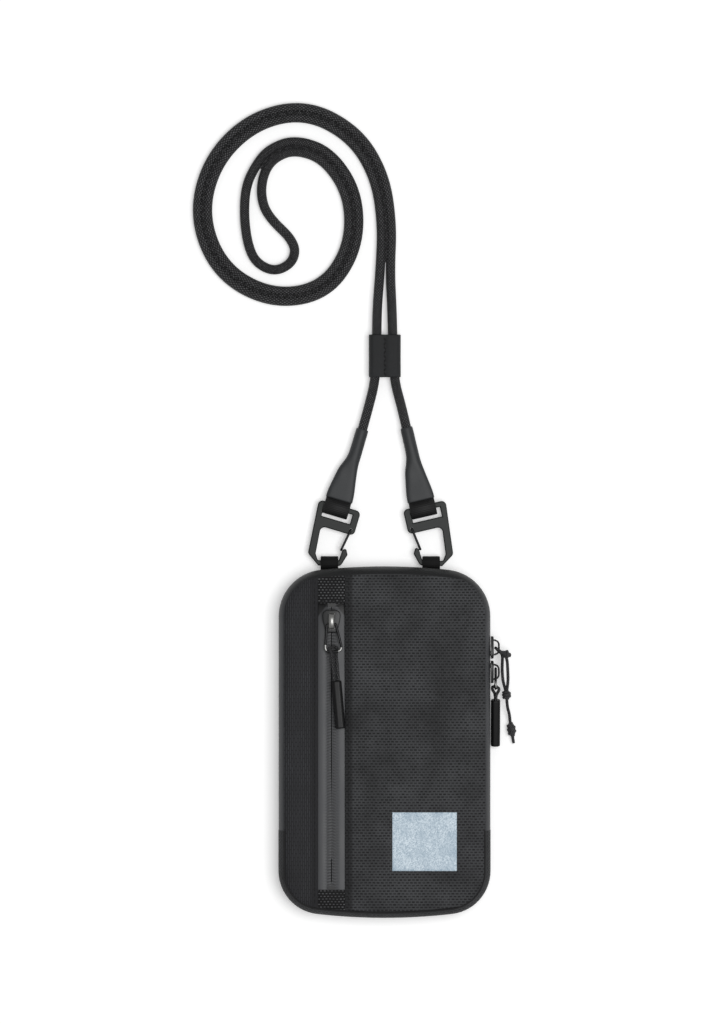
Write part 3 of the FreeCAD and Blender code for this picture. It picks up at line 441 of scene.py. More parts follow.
def rubbed_ring():
    """Blackened steel wire, rubbed bright round both lower corners, where the cord slides."""
    material, tree, shader = fresh("blackened_steel_ring")
    place = places(tree)
    # the wire starts in the crown, so both corners are as far from the foot's middle along it
    off = calc(tree, "ABSOLUTE", calc(tree, "SUBTRACT", parts_of(tree, place["UV"])[0], 0.5))
    rub = fleck(tree, place["Object"], 500.0, 2.0)
    share = calc(tree, "MULTIPLY", calc(tree, "COMPARE", off, 0.125, 0.055), rub)
    bare = spread(tree, share, 0.2, 0.5)
    settle(tree, shader, mix(tree, bare, linear("2a2a2b"), linear("9b9b99")), 0.36, rub, 0.02 * MM, 0.3,
           Metallic=0.9)
    return material


def patch_finish(colours):
    """Glass-bead film: a pale sheet of fine specks, each bead's cluster drawn at 0.5 mm."""
    material, tree, shader = fresh("reflective_film_patch")
    at = surface(tree)
    beads = add(tree, "ShaderNodeTexVoronoi", {"Vector": at, "Scale": 2000.0}).outputs
    speck = calc(tree, "MULTIPLY", beads["Color"], fleck(tree, at, 120.0, 4.0))
    mixed = mix(tree, spread(tree, speck, 0.05, 0.45), linear("8fa4b4"), colours.patch)
    settle(tree, shader, mixed, 0.5, beads["Distance"], 0.04 * MM, 0.4)
    return material


# Shapes

def steps(first, last, count):
    return [first + (last - first) * step / count for step in range(count + 1)]


def eased(first, last, count):
    """Steps that crowd towards both ends."""
    return [first + (last - first) * (1 - math.cos(math.pi * step / count)) / 2 for step in range(count + 1)]


def circle(count):
    """Points round a circle of radius 1."""
    return [(math.cos(turn), math.sin(turn)) for turn in steps(0, FULL_TURN, count)[:-1]]


def limited(value):
    return min(max(value, 0.0), 1.0)


def turned(angle, axis):
    return Matrix.Rotation(angle, 4, axis)


def at_joint(name):
    return Matrix.Translation(joint_spot(name))


def run_lengths(points):
    """How far along a line of points each one is."""
    lengths = [0.0]
    for before, after in zip(points, points[1:]):
        lengths.append(lengths[-1] + (after - before).length)
    return lengths


def skin(rows, tube=False, capped=False):
    """Quads over rows of points, with UVs in metres along and across them; a tube's rows are rings."""
    ring = len(rows[0])
    across, along = ring - (not tube), len(rows) - 1
    bm = bmesh.new()
    uv = bm.loops.layers.uv.new("UVMap")
    bmesh.ops.create_grid(bm, x_segments=across, y_segments=along, size=0.5)
    up = run_lengths([row[0] for row in rows])
    over = run_lengths(rows[len(rows) // 2] + rows[len(rows) // 2][:1])
    spots = {vert: (round((vert.co.y + 0.5) * along), round((vert.co.x + 0.5) * across)) for vert in bm.verts}
    for face in bm.faces:
        for loop in face.loops:
            row, column = spots[loop.vert]
            loop[uv].uv = (up[row] * MM, over[column] * MM)
    for vert, (row, column) in spots.items():
        vert.co = rows[row][column % ring]
    if tube:
        bmesh.ops.remove_doubles(bm, verts=bm.verts[:], dist=1e-4)
    if capped:
        bmesh.ops.holes_fill(bm, edges=[edge for edge in bm.edges if edge.is_boundary], sides=0)
    if tube or capped:
        bmesh.ops.recalc_face_normals(bm, faces=bm.faces[:])
    return bm


def rod(rows):
    """A tube with closed ends."""
    return skin(rows, tube=True, capped=True)


def join(bm, other):
    """Moves a second shape into the first."""
    spare = bpy.data.meshes.new("spare")
    other.to_mesh(spare)
    other.free()
    bm.from_mesh(spare)
    bpy.data.meshes.remove(spare)


def put(name, data):
    """Links a new object into the scene."""
    thing = bpy.data.objects.new(name, data)
    bpy.context.scene.collection.objects.link(thing)
    return thing


def declare(thing, body=None, nodes=(), slot=None):
    """Hangs a piece on the body that it rides on, and hides the solids that it stands for."""
    if body:
        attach(thing, body)
    if nodes:
        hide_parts(*nodes)
    return thing


def piece(name, bm, finish, body=None, nodes=(), slot=None, sharp=50.0, thick=0.0, matrix=None):
    if matrix is not None:
        bmesh.ops.transform(bm, matrix=matrix, verts=bm.verts[:])
    bmesh.ops.scale(bm, vec=(MM, MM, MM), verts=bm.verts[:])
    mesh = bpy.data.meshes.new(name)
    bm.to_mesh(mesh)
    bm.free()
    mesh.shade_smooth()
    mesh.set_sharp_from_angle(angle=math.radians(sharp))
    mesh.materials.append(finish)
    thing = put(name, mesh)
    if thick:
        wall = thing.modifiers.new("Thickness", "SOLIDIFY")
        wall.thickness = thick * MM
        wall.offset = -1.0
    return declare(thing, body, nodes, slot)


def dress(node, finish):
    """Gives a solid that stays in view its finish."""
    solid = frame["nodes"][node]
    solid.data.materials.clear()
    solid.data.materials.append(finish)


def line(name, points, diameter, finish, body, nodes=(), slot=None, closed=False, matrix=None):
    """A round cord or wire on one smooth spline through control points in millimetres."""
    curve = bpy.data.curves.new(name, "CURVE")
    curve.dimensions = "3D"
    # the width is in the points' radius, which also sets how far the curve's box reaches
    curve.bevel_depth = 1.0
    curve.bevel_resolution = 3
    curve.use_fill_caps = True
    curve.resolution_u = 10
    spline = curve.splines.new("NURBS")
    spline.points.add(len(points) - 1)
    for knot, point in zip(spline.points, points):
        place = Vector(point) if matrix is None else matrix @ Vector(point)
        knot.co = (*(place * MM), 1.0)
        knot.radius = diameter * MM / 2
    spline.order_u = 3
    spline.use_endpoint_u = not closed
    spline.use_cyclic_u = closed
    curve.materials.append(finish)
    return declare(put(name, curve), body, nodes, slot)


def run_of(thing):
    """Points along a curve's own line, in millimetres."""
    curve = thing.data
    depth, curve.bevel_depth = curve.bevel_depth, 0.0
    bpy.context.view_layer.update()
    solved = thing.evaluated_get(bpy.context.evaluated_depsgraph_get())
    points = [vert.co / MM for vert in solved.to_mesh().vertices]
    solved.to_mesh_clear()
    curve.bevel_depth = depth
    return points


def ribbon(path, width, thick, edge=0.35):
    """A flat band along points in the YZ plane, its width along X, with soft edges."""
    half, rise = width / 2, thick / 2
    section = [(-half + edge, rise), (half - edge, rise), (half, rise - edge), (half, edge - rise),
               (half - edge, -rise), (edge - half, -rise), (-half, edge - rise), (-half, rise - edge)]
    rows = []
    for index, (y, z) in enumerate(path):
        before, after = path[max(index - 1, 0)], path[min(index + 1, len(path) - 1)]
        way = Vector((after[0] - before[0], after[1] - before[1])).normalized()
        rows.append([Vector((across, y - way.y * up, z + way.x * up)) for across, up in section])
    return rod(rows)


def loop_path(radius, ply, reach, slack=0.0):
    """Webbing round a bar at the origin: out along +Y as one ply, round the bar, and back as the other.

    slack is how far the bend stands off below the bar.
    """
    opening = math.radians(40)
    arc = [(radius * math.cos(turn) + slack * min(math.cos(turn), 0.0), radius * math.sin(turn))
           for turn in steps(opening, FULL_TURN - opening, 22)]
    # both plies lie together from here on
    meet = radius * math.cos(opening) + 3.2
    legs = [(reach, ply), ((reach + meet) / 2, ply), (meet, ply), (meet - 1.2, ply * 1.25),
            (meet - 2.2, ply * 2.1)]
    return legs + arc + [(y, -z) for y, z in reversed(legs)]


def stitches(bm, points, length, width=0.55, gap=0.9, slant=0.0):
    """Adds a row of stitches along points, each turned from the last where the row is a zigzag."""
    lengths = run_lengths(points)
    pitch = length + gap
    size = Matrix.Diagonal((length / 2, width / 2, width / 2, 1.0))
    at, segment = pitch / 2, 0
    while at < lengths[-1] - pitch / 2:
        while lengths[segment + 1] < at:
            segment += 1
        share = (at - lengths[segment]) / (lengths[segment + 1] - lengths[segment])
        along = (points[segment + 1] - points[segment]).normalized()
        side = Vector((0, 0, 1)).cross(along).normalized()
        turn = Matrix((along, side, along.cross(side))).transposed().to_4x4() @ turned(slant, "Z")
        slant = -slant
        place = Matrix.Translation(points[segment].lerp(points[segment + 1], share)) @ turn
        bmesh.ops.create_uvsphere(bm, u_segments=6, v_segments=4, radius=1.0, matrix=place @ size)
        at += pitch


# Outline of the pouch

def corner(top):
    """A corner's round: its centre out and up, its radius, and the turn to where the bow starts."""
    radius = TOP_R if top else FOOT_R
    out = HALF_W - radius
    rise = math.sqrt((BOW - radius) ** 2 - out ** 2)
    return out, HALF_H - BOW + rise, radius, math.atan2(rise, out)


def rim(top, start, side_steps=24):
    """Places on the edge and the outward way there, from the right side over one end to the left side."""
    out, rise, radius, turn = corner(top)
    right = [(HALF_W, y, 0.0) for y in steps(start, rise, side_steps)]
    right += [(out + radius * math.cos(a), rise + radius * math.sin(a), a) for a in steps(0, turn, 14)[1:]]
    right += [(BOW * math.cos(a), HALF_H - BOW + BOW * math.sin(a), a)
              for a in steps(turn, math.pi / 2, 8)[1:]]
    left = [(-x, y, math.pi - a) for x, y, a in reversed(right[:-1])]
    flip = 1 if top else -1
    return [(Vector((x, flip * y)), Vector((math.cos(a), flip * math.sin(a)))) for x, y, a in right + left]


def end_line(x, inset, top, end=0.0):
    """How far up the top or bottom edge is at x, inset from the outline, and by end at least from its bow."""
    out, rise, radius, turn = corner(top)
    across = min(abs(x), HALF_W - inset)
    if across > (BOW - inset) * math.cos(turn):
        high = rise + math.sqrt(max((radius - inset) ** 2 - (across - out) ** 2, 0.0))
    else:
        high = HALF_H - BOW + math.sqrt((BOW - inset) ** 2 - across ** 2)
    high = min(high, HALF_H - BOW + math.sqrt((BOW - end) ** 2 - across ** 2))
    return high if top else -high


def seam_distance(x, y, inset, end=0.0):
    """How far a point is inside the outline's inset line, where the bow is inset by end at least."""
    out, rise, radius, _ = corner(y > 0)
    across, up = abs(x), abs(y)
    bow = BOW - max(inset, end) - math.hypot(across, up - HALF_H + BOW)
    if across > out and up > rise:
        return min(radius - inset - math.hypot(across - out, up - rise), bow)
    return min(HALF_W - inset - across, bow)


def edge_fall(x, y, inset, reach):
    """1 at the inset outline, falling to 0 inside it over a reach."""
    return math.exp(-max(seam_distance(x, y, inset), 0.0) / reach)


def cloth_rows(left, right, inset, height, columns, count, low=None, high=None, end=0.0):
    """Rows of a cloth panel between two sides, up to the inset outline or to a level end."""
    across = eased(left, right, columns)
    lows = [end_line(x, inset, False, end) if low is None else low for x in across]
    highs = [end_line(x, inset, True, end) if high is None else high for x in across]
    rows = []
    for share in eased(0.0, 1.0, count):
        ys = [foot + (head - foot) * share for foot, head in zip(lows, highs)]
        rows.append([Vector((x, y, height(x, y))) for x, y in zip(across, ys)])
    return rows


def panel(name, rows, finish, body, node, slot, thick):
    cloth = piece(name, skin(rows), finish, body, [node], slot, thick=thick)
    low, high = [Vector(map(pick, *(point for row in rows for point in row))) for pick in (min, max)]


def band(stations, outer, inner=()):
    """A closed wall along the edge: its outer profile and its inner one, as (inset, height) points."""
    ring = list(outer) + list(inner)[::-1]
    return rod([[Vector((*(place - way * inset), height)) for inset, height in ring]
                for place, way in stations])


# Stage: the floor in millimetres, the rest in metres
FLOOR_HALF, FLOOR_DROP = 3000.0, 0.3
PAPER_LIFT = 0.25
WORLD_STRENGTH = 0.4
WHITE = (1.0, 1.0, 1.0, 1.0)
LAMP_WATTS, LAMP_SIZE = 15.4, 0.9
LAMP_PLACE = Vector((0.34, 0.06, 1.55))
LAMP_AIM = Vector((0.0, 0.1, 0.0))
CAMERA_PLACE = (-0.01665, 0.12765, 3.0)
VIEW_HEIGHT, FOCUS_HEIGHT = 0.5683, 0.012


class POUCH_OT_stage(bpy.types.Operator):
    """White floor, soft light from the right, and the camera straight above"""
    bl_idname = "pouch.stage"
    bl_label = "Stage"

    def execute(self, context):
        scene = context.scene
        scene.view_settings.view_transform = "Standard"
        material, tree, shader = fresh("white_paper_floor")
        # paper that reads as pure white behind the object and still takes its shadow
        path = add(tree, "ShaderNodeLightPath").outputs
        seen = calc(tree, "MAXIMUM", path["Is Camera Ray"], path["Is Glossy Ray"])
        seen = calc(tree, "MAXIMUM", seen, path["Is Transmission Ray"])
        feed(tree, shader, {"Base Color": linear("f6f6f6"), "Roughness": 0.9, "Emission Color": WHITE,
                            "Emission Strength": calc(tree, "MULTIPLY", seen, PAPER_LIFT)})
        bm = bmesh.new()
        bmesh.ops.create_grid(bm, x_segments=1, y_segments=1, size=FLOOR_HALF,
                              matrix=Matrix.Translation((0.0, 0.0, -FLOOR_DROP)))
        piece("paper_floor", bm, material)

        world = bpy.data.worlds.new("studio")
        world.use_nodes = True
        feed(world.node_tree, world.node_tree.nodes["Background"],
             {"Color": WHITE, "Strength": WORLD_STRENGTH})
        scene.world = world
        lamp = bpy.data.lights.new("soft_box", "AREA")
        lamp.energy = LAMP_WATTS
        lamp.size = LAMP_SIZE
        light = put("soft_box", lamp)
        light.location = LAMP_PLACE
        light.rotation_euler = (LAMP_AIM - LAMP_PLACE).to_track_quat("-Z", "Y").to_euler()

        lens = bpy.data.cameras.new("above")
        lens.lens = lens.sensor_width * (CAMERA_PLACE[2] - FOCUS_HEIGHT) / VIEW_HEIGHT
        scene.camera = put("above", lens)
        scene.camera.location = CAMERA_PLACE
        return {"FINISHED"}


# Route of the neck cord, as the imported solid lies, in millimetres: its doubled run as one middle line,
# the loop at its end, and the two legs below the keeper
PAIR_ROUTE = [
    (0.4, 262.0, 3.4), (1.6, 288.0, 2.8), (-2.6, 315.3, 2.8), (-17.0, 338.4, 2.8), (-44.0, 352.2, 2.8),
    (-73.6, 345.4, 2.8), (-96.0, 323.0, 2.8), (-103.6, 292.0, 2.8), (-91.2, 261.5, 2.8), (-63.0, 246.0, 2.8),
    (-33.5, 250.5, 2.8), (-17.3, 274.0, 2.8), (-16.8, 303.4, 2.8), (-31.0, 325.8, 2.8), (-49.5, 332.3, 2.8),
    (-62.5, 327.5, 2.8), (-69.3, 319.0, 2.8),
]
LOOP_ROUTE = [
    (-69.0, 304.5, 2.8), (-65.3, 292.5, 2.8), (-49.6, 277.8, 2.8), (-50.4, 267.0, 2.8), (-60.6, 261.2, 2.8),
    (-71.2, 266.0, 2.8), (-76.0, 276.0, 2.8), (-78.2, 292.5, 2.8), (-77.2, 309.0, 2.8),
]
LEFT_LEG = [(-9.3, 184.0, 4.6), (-5.0, 201.0, 4.6), (-4.3, 220.5, 4.6), (-4.1, 241.0, 4.5)]
RIGHT_LEG = [(4.2, 241.0, 4.5), (4.7, 220.5, 4.6), (5.4, 201.0, 4.6), (9.9, 185.0, 4.6)]
STRAND_PITCH, LAST_PARTING = 5.5, 1.06
NECK_LENGTH, NECK_BRAID = 1153.4, 1.7
# The painted shade between the strands, dark dashes on a filler in their groove: where the filler starts, its
# thickness, and how far it and its dashes stand up
GROOVE_START, GROOVE_THICK, GROOVE_RISE, SHADE_DASH_RISE = (0.7, 266.5, 3.2), 2.4, 1.2, 1.15
SLEEVE_SEAT, SLEEVE_LENGTH, SOCKET = 4.6, 40.9, 1.0
LEANS = {"left": -16.5, "right": 13.0}


def strap_frame(side):
    """Frame of a strap's loop on its hook, +Y along the strap to the cord."""
    return at_joint(f"strap_fold_{side}") @ turned(math.radians(LEANS[side]), "Z")


def strand(side):
    """One strand of the doubled cord: its middle line moved half a pitch to one side."""
    points = [Vector(point) for point in PAIR_ROUTE]
    ways = [(after - before).to_2d().normalized() for before, after in zip(points, points[1:])]
    moved = []
    for index, point in enumerate(points):
        near = ways[max(index - 1, 0):index + 1]
        along = sum(near[1:], near[0]).normalized()
        parting = LAST_PARTING if index == len(points) - 1 else 1.0
        off = parting * side * STRAND_PITCH / 2 / along.dot(near[0])
        moved.append((point.x - along.y * off, point.y + along.x * off, point.z))
    return moved


class POUCH_OT_neck_cord(bpy.types.Operator):
    """Doubled braided cord, from sleeve to sleeve"""
    bl_idname = "pouch.neck_cord"
    bl_label = "Neck cord"

    def execute(self, context):
        colours, sizes = groups(context)
        socket = Vector((0.0, SLEEVE_SEAT + SLEEVE_LENGTH - SOCKET, 0.0))
        left, right = (tuple(strap_frame(side) @ socket) for side in LEANS)
        route = [left] + LEFT_LEG + strand(1) + LOOP_ROUTE + strand(-1)[::-1] + RIGHT_LEG + [right]
        # nylon braid with a crossing every 1.7 mm, in the strands and in what fills the groove between them
        finish, filler = (
            braided(name, colours.cord, linear("0b0b0c"), length, thick, NECK_BRAID, 0.3)
            for name, length, thick in (("braided_nylon_cord", NECK_LENGTH, sizes.cord / MM),
                                        ("braided_nylon_filler", NECK_LENGTH / 2, GROOVE_THICK)))
        cord = line("neck_cord_braid", route, sizes.cord / MM, finish, "cord_body", ["neck_cord"],
                    "braided_cord")
        # the strands only lie side by side: the dark slanted dashes on a filler in the groove between them
        # are painted shade, not a seam
        groove = [Vector(point) + Vector((0.0, 0.0, GROOVE_RISE)) for point in [GROOVE_START] + PAIR_ROUTE[1:]]
        seam = line("pair_groove_filler", groove, GROOVE_THICK, filler, "cord_body", slot="braided_cord")
        bm = bmesh.new()
        stitches(bm, run_of(seam), 4.4, 0.9, 0.5, slant=0.3)
        shade_dashes = piece("pair_groove_shade_dashes", bm, thread_finish(colours), "cord_body", slot="braided_cord",
                       matrix=Matrix.Translation((0.0, 0.0, SHADE_DASH_RISE)))
        Vector(route[0]) * MM
        return {"FINISHED"}


# Keeper: the share of its width that is flat, how deep and wide its seam draws it in, its thickness, how far
# its hems reach and pull in, and how far the stitches stand over it and stop before its ends
KEEPER_FLAT, KEEPER_DRAW, KEEPER_WIDE, KEEPER_THICK = 0.62, 0.16, 1.3, 0.9
KEEPER_HEM, KEEPER_PULL = 0.6, 0.985
KEEPER_STITCH, KEEPER_END = 0.1, 0.5


class POUCH_OT_keeper(bpy.types.Operator):
    """Flat band sewn round both strands, with a seam between them"""
    bl_idname = "pouch.keeper"
    bl_label = "Cord keeper"

    def execute(self, context):
        colours, sizes = groups(context)
        low, high = box_of("cord_keeper")
        middle = (low + high) / 2
        half, reach, rise = (high - low) / 2

        def height(x):
            """Half thickness at x: flat over the strands, rolled at the sides, drawn in at the seam."""
            roll = max(abs(x) - half * KEEPER_FLAT, 0.0) / (half * (1 - KEEPER_FLAT))
            drawn = 1 - KEEPER_DRAW * math.exp(-(x / KEEPER_WIDE) ** 2)
            return rise * math.sqrt(max(1 - roll ** 3, 0.0)) * drawn

        across = eased(-half, half, 28)
        ring = [(x, height(x)) for x in across] + [(x, -height(x)) for x in reversed(across[1:-1])]
        rows = [[middle + Vector((x * pull, y, z * pull)) for x, z in ring]
                for y, pull in ((-reach, KEEPER_PULL), (KEEPER_HEM - reach, 1.0), (0.0, 0.995),
                                (reach - KEEPER_HEM, 1.0), (reach, KEEPER_PULL))]
        # woven band under a matt coat
        finish = coated("coated_keeper_band", colours.keeper, linear("191a1b"), 0.5, 0.7, depth=0.08,
                        shine=0.3)
        piece("keeper_band", skin(rows, tube=True), finish, "keeper_body", ["cord_keeper"], "keeper_band",
              thick=KEEPER_THICK)
        bm = bmesh.new()
        for side in (1, -1):
            level = side * (height(0.0) + KEEPER_STITCH)
            seam = [middle + Vector((0.0, y, level)) for y in (KEEPER_END - reach, reach - KEEPER_END)]
            stitches(bm, seam, sizes.stitch / MM, 0.9, 0.0, slant=0.5)
        piece("keeper_seam", bm, thread_finish(colours), "keeper_body", slot="keeper_band")
        return {"FINISHED"}


# The front cloth laps over the side tape: its edge's distance from the outline at the sides and at the ends
CLOTH_IN, CLOTH_END = 2.9, 4.2
FRONT_THICK = FABRIC * 0.8
TAPE_COVER = 0.12
# How far its swell and its dips reach, and how deep it rolls over at the zip's window
SWELL_REACH, SEAM_REACH, CALM_REACH = 14, 2.2, 5
HEM_DIP, HEM_REACH = 0.45, 1.0
# Width, height and seed of its shallow waves
WAVES = ((21, 0.25, 3.1), (8, 0.08, 7.7))
# Stitch lines: how far they run beside the zip's window and past its ends, and stand over the cloth
STITCH_BESIDE, STITCH_PAST, STITCH_RISE = 1.9, 1.6, 0.06


def tape_top(inset):
    """Height of the front half's side tape at a distance inside the outline."""
    turn = math.asin(limited(1 - inset / PANEL_IN))
    return MIDDLE + SLIT / 2 + (MIDDLE - SLIT / 2 - FABRIC) * math.cos(turn)


def front_height(sizes):
    """Height of the front cloth: it sinks into the edge seam and rolls over at the zip's window."""
    dip, puff = sizes.seam_dip / MM, sizes.puff / MM

    def height(x, y):
        seam = max(seam_distance(x, y, CLOTH_IN, CLOTH_END), 0.0)
        beside = min(abs(x - ZIP_LEFT), abs(x - ZIP_RIGHT))
        wave = sum(noise.noise(Vector((x / wide, y / wide, seed))) * high for wide, high, seed in WAVES)
        calm = 1 - math.exp(-min(seam, beside) / CALM_REACH)
        level = (DEPTH + puff * (1 - math.exp(-seam / SWELL_REACH)) + wave * calm
                 - dip * math.exp(-seam / SEAM_REACH) - HEM_DIP * math.exp(-beside / HEM_REACH))
        return max(level, tape_top(seam_distance(x, y, 0.0)) + TAPE_COVER)

    return height


class POUCH_OT_front_cloth(bpy.types.Operator):
    """Woven panels of the front, the end patches of its zip, and their seams"""
    bl_idname = "pouch.front_cloth"
    bl_label = "Front cloth"

    def execute(self, context):
        colours, sizes = groups(context)
        height = front_height(sizes)
        edge = HALF_W - CLOTH_IN
        # turned under along the zip, and darkened there with painted shade
        front = cloth_finish("hemmed_polyester_weave", colours, hem=True)
        # finer twill of the left strip, its lines 1.05 mm apart down the pouch, with the same painted shade
        # along the zip
        strip = woven("fine_polyester_twill", colours.strip, colours.strip_thread, 4.4, 1.05,
                      turn=math.pi / 2, raised=0.18, hem=True)
        # open mesh weave of the end patches, dots 2.0 by 1.5 mm
        mesh = woven("mesh_weave", colours.mesh, colours.mesh_thread, 2.0, 1.5, raised=0.5, gap=0.95)
        window = (ZIP_LEFT, ZIP_RIGHT)
        parts = (
            ("main_panel_cloth", "front_main_panel", "coarse_fabric", front, ZIP_RIGHT, edge, 56, 96, {}),
            ("side_panel_cloth", "front_side_panel", "fine_fabric", strip, -edge, ZIP_LEFT, 20, 96, {}),
            ("zip_head_cloth", "zip_top_patch", "mesh_fabric", mesh, *window, 16, 14, {"low": ZIP_TOP}),
            ("zip_foot_cloth", "zip_bottom_patch", "mesh_fabric", mesh, *window, 16, 14, {"high": ZIP_FOOT}),
        )
        for name, node, slot, finish, left, right, columns, count, ends in parts:
            rows = cloth_rows(left, right, CLOTH_IN, height, columns, count, end=CLOTH_END, **ends)
            panel(name, rows, finish, "front_shell", node, slot, FRONT_THICK)
        runs = []
        for x in (ZIP_LEFT - STITCH_BESIDE, ZIP_RIGHT + STITCH_BESIDE):
            foot, head = (end_line(x, PANEL_IN + 1.0, top) for top in (False, True))
            runs.append([(x, y) for y in steps(foot, head, 60)])
        for y in (ZIP_TOP + STITCH_PAST, ZIP_FOOT - STITCH_PAST):
            runs.append([(x, y) for x in steps(ZIP_LEFT + 0.8, ZIP_RIGHT - 0.8, 8)])
        bm = bmesh.new()
        for run in runs:
            points = [Vector((x, y, height(x, y) + STITCH_RISE)) for x, y in run]
            stitches(bm, points, sizes.stitch / MM)
        piece("front_seams", bm, thread_finish(colours), "front_shell", slot="coarse_fabric")
        return {"FINISHED"}


# Patch: how far it stands over the cloth, how deep and how far in its edge is pressed down, its thickness
PATCH_RISE, PATCH_PRESS, PATCH_REACH, PATCH_THICK = 0.42, 0.3, 0.35, 0.4


class POUCH_OT_patch(bpy.types.Operator):
    """Pale reflective patch sewn low on the front"""
    bl_idname = "pouch.patch"
    bl_label = "Patch"

    def execute(self, context):
        colours, sizes = groups(context)
        low, high = box_of("label_patch")
        over = front_height(sizes)

        def height(x, y):
            """A little over the cloth, and pressed down at the patch's own edge."""
            inside = min(x - low.x, high.x - x, y - low.y, high.y - y)
            return over(x, y) + PATCH_RISE - PATCH_PRESS * math.exp(-max(inside, 0.0) / PATCH_REACH)

        rows = [[Vector((x, y, height(x, y))) for x in eased(low.x, high.x, 30)]
                for y in eased(low.y, high.y, 28)]
        piece("patch_film", skin(rows), patch_finish(colours), "front_shell", ["label_patch"], "patch",
              thick=PATCH_THICK)
        return {"FINISHED"}


# Front zip: how far apart its ribs are, rows to each rib, and the part of the tape that has them
RIB_PITCH, RIB_STEPS = 1.62, 4
RIB_FROM, RIB_TO = 0.5, 2.95
# How far its tape runs on under both ends, and the tape's section: distance from the zip's middle and drop
# below its face
TAPE_PAST = 3
TAPE_SECTION = [(9.4, 0.75), (7.9, 0.4), (6.6, 0.08), (5.0, 0.0), (3.6, 0.0), (2.9, 0.02), (2.4, 0.0),
                (1.9, 0.0), (1.4, 0.0), (0.95, 0.02), (0.6, 0.08), (0.35, 0.25), (0.24, 0.6), (0.22, 1.0)]
# The tape sinks under the cloth at its upper end, and beside the coil where the pull lies on it
SINK, SINK_REACH = 1.3, 4.0
HOLLOW, HOLLOW_REACH = 1.1, {"left": 14.0, "right": 46.0}
HOLLOW_FROM, HOLLOW_FADE = 2.4, 2.6
# The two tapes close over the coil in the lower half, but not where the slider ends its travel
SLIT_CLOSED, SLIT_GAPE = 0.12, 0.6
CLOSED_BELOW, CLOSING = -24.0, 4.0
PARK_ROOM = 6.5
COIL_R, COIL_RIB, COIL_DROP = 0.62, 0.2, 1.7


class POUCH_OT_front_zip(bpy.types.Operator):
    """Coated tapes of the front zip, ribbed over their coils, and the zip's end stops"""
    bl_idname = "pouch.front_zip"
    bl_label = "Front zip"

    def execute(self, context):
        colours, sizes = groups(context)
        rib = sizes.rib / MM
        count = round((ZIP_TOP - ZIP_FOOT + 2 * TAPE_PAST) / RIB_PITCH) * RIB_STEPS
        levels = steps(ZIP_FOOT - TAPE_PAST, ZIP_TOP + TAPE_PAST, count)
        finish = zip_tape_painted_shade_finish(colours)
        parked = middle_of("front_slider", 1) - JOINTS["front_slide"]["range_m"][1] / MM
        for side, way in (("left", -1), ("right", 1)):
            tape, coil = [], []
            for number, y in enumerate(levels):
                wave = math.cos(FULL_TURN * number / RIB_STEPS)
                below = max(ZIP_TOP - y, 0.0)
                sink = SINK * math.exp(-below / SINK_REACH)
                hollow = HOLLOW * math.exp(-(below / HOLLOW_REACH[side]) ** 2)
                parted = max(1 / (1 + math.exp((CLOSED_BELOW - y) / CLOSING)), abs(y - parked) < PARK_ROOM)
                slit = SLIT_CLOSED + SLIT_GAPE * parted
                row = []
                for out, drop in TAPE_SECTION[::-way]:
                    level = ZIP_FACE - drop - sink - hollow * limited((out - HOLLOW_FROM) / HOLLOW_FADE)
                    if RIB_FROM < out < RIB_TO:
                        level += rib * wave - rib
                    row.append(Vector((ZIP_X + way * (out if out > RIB_FROM else out * slit), y, level)))
                tape.append(row)
                radius = COIL_R + COIL_RIB * wave
                coil.append([Vector((ZIP_X + way * COIL_R + radius * x, y, ZIP_FACE - COIL_DROP + radius * z))
                             for x, z in circle(8)])
            piece(f"front_tape_{side}", skin(tape), finish, "front_shell", [f"front_zip_tape_{side}"],
                  "zip_tape", thick=0.6)
            piece(f"front_coil_{side}", rod(coil), coil_finish(colours), "front_shell",
                  [f"front_zip_coil_{side}"], "zip_coil")
        # pressed clips, blackened
        dress("front_zip_stops",
              painted_metal("blackened_clip", linear("18191a"), linear("3b3c3e"), 0.2, 0.5, 0.4))
        return {"FINISHED"}


# Main zip: how far its tape is tucked under the panels, its thickness inwards and upwards, and its coil's
# distance inside the outline, half width and half height
TAPE_TUCK, TAPE_WALL = 1.5, (0.9, 0.8)
COIL_IN, COIL_HALF_WIDTH, COIL_HALF_HEIGHT = 1.75, 0.55, 0.75


class POUCH_OT_main_zip(bpy.types.Operator):
    """Both halves of the main zip's tape, up the sides and over the top, with their coils"""
    bl_idname = "pouch.main_zip"
    bl_label = "Main zip"

    def execute(self, context):
        colours = context.scene.pouch_colours
        stations = rim(True, GUSSET_TOP)
        base = MIDDLE - SLIT / 2

        def wall(into, up, half):
            """Quarter round from the panel's edge to the slit, moved in and up by the tape's thickness."""
            points = [(PANEL_IN + TAPE_TUCK, FABRIC + up)] + [
                (into + PANEL_IN * (1 - math.sin(turn)), base - (base - FABRIC - up) * math.cos(turn))
                for turn in steps(0.0, math.pi / 2, 10)]
            return [(inset, height if half == "back" else DEPTH - height) for inset, height in points]

        finish = side_tape_finish(colours)
        for half in ("back", "front"):
            body = f"{half}_shell"
            tape = band(stations, wall(0.0, 0.0, half), wall(*TAPE_WALL, half))
            piece(f"main_tape_{half}", tape, finish, body, [f"main_zip_tape_{half}"], "zip_tape", sharp=60)
            level = middle_of(f"main_zip_coil_{half}", 2)
            ring = [(COIL_IN + COIL_HALF_WIDTH * x, level + COIL_HALF_HEIGHT * z) for x, z in circle(8)]
            piece(f"main_coil_{half}", band(stations, ring), coil_finish(colours), body,
                  [f"main_zip_coil_{half}"], "zip_coil")
        return {"FINISHED"}


# Gusset: how far it laps over the panels, is tucked under them and drops there, how much it is pressed in
# where it meets them, its wall, its inner side's share of its height, and its seam's place and thread
GUSSET_LAP, GUSSET_TUCK, GUSSET_DROP = 0.2, 1.4, 0.5
GUSSET_PRESS, PRESS_POWER = 0.09, 24
GUSSET_WALL, GUSSET_INSIDE = 0.9, 0.9
SEAM_INSET, SEAM_LEVEL, SEAM_THREAD = CLOTH_IN + 0.4, DEPTH - 1.8, 1.2


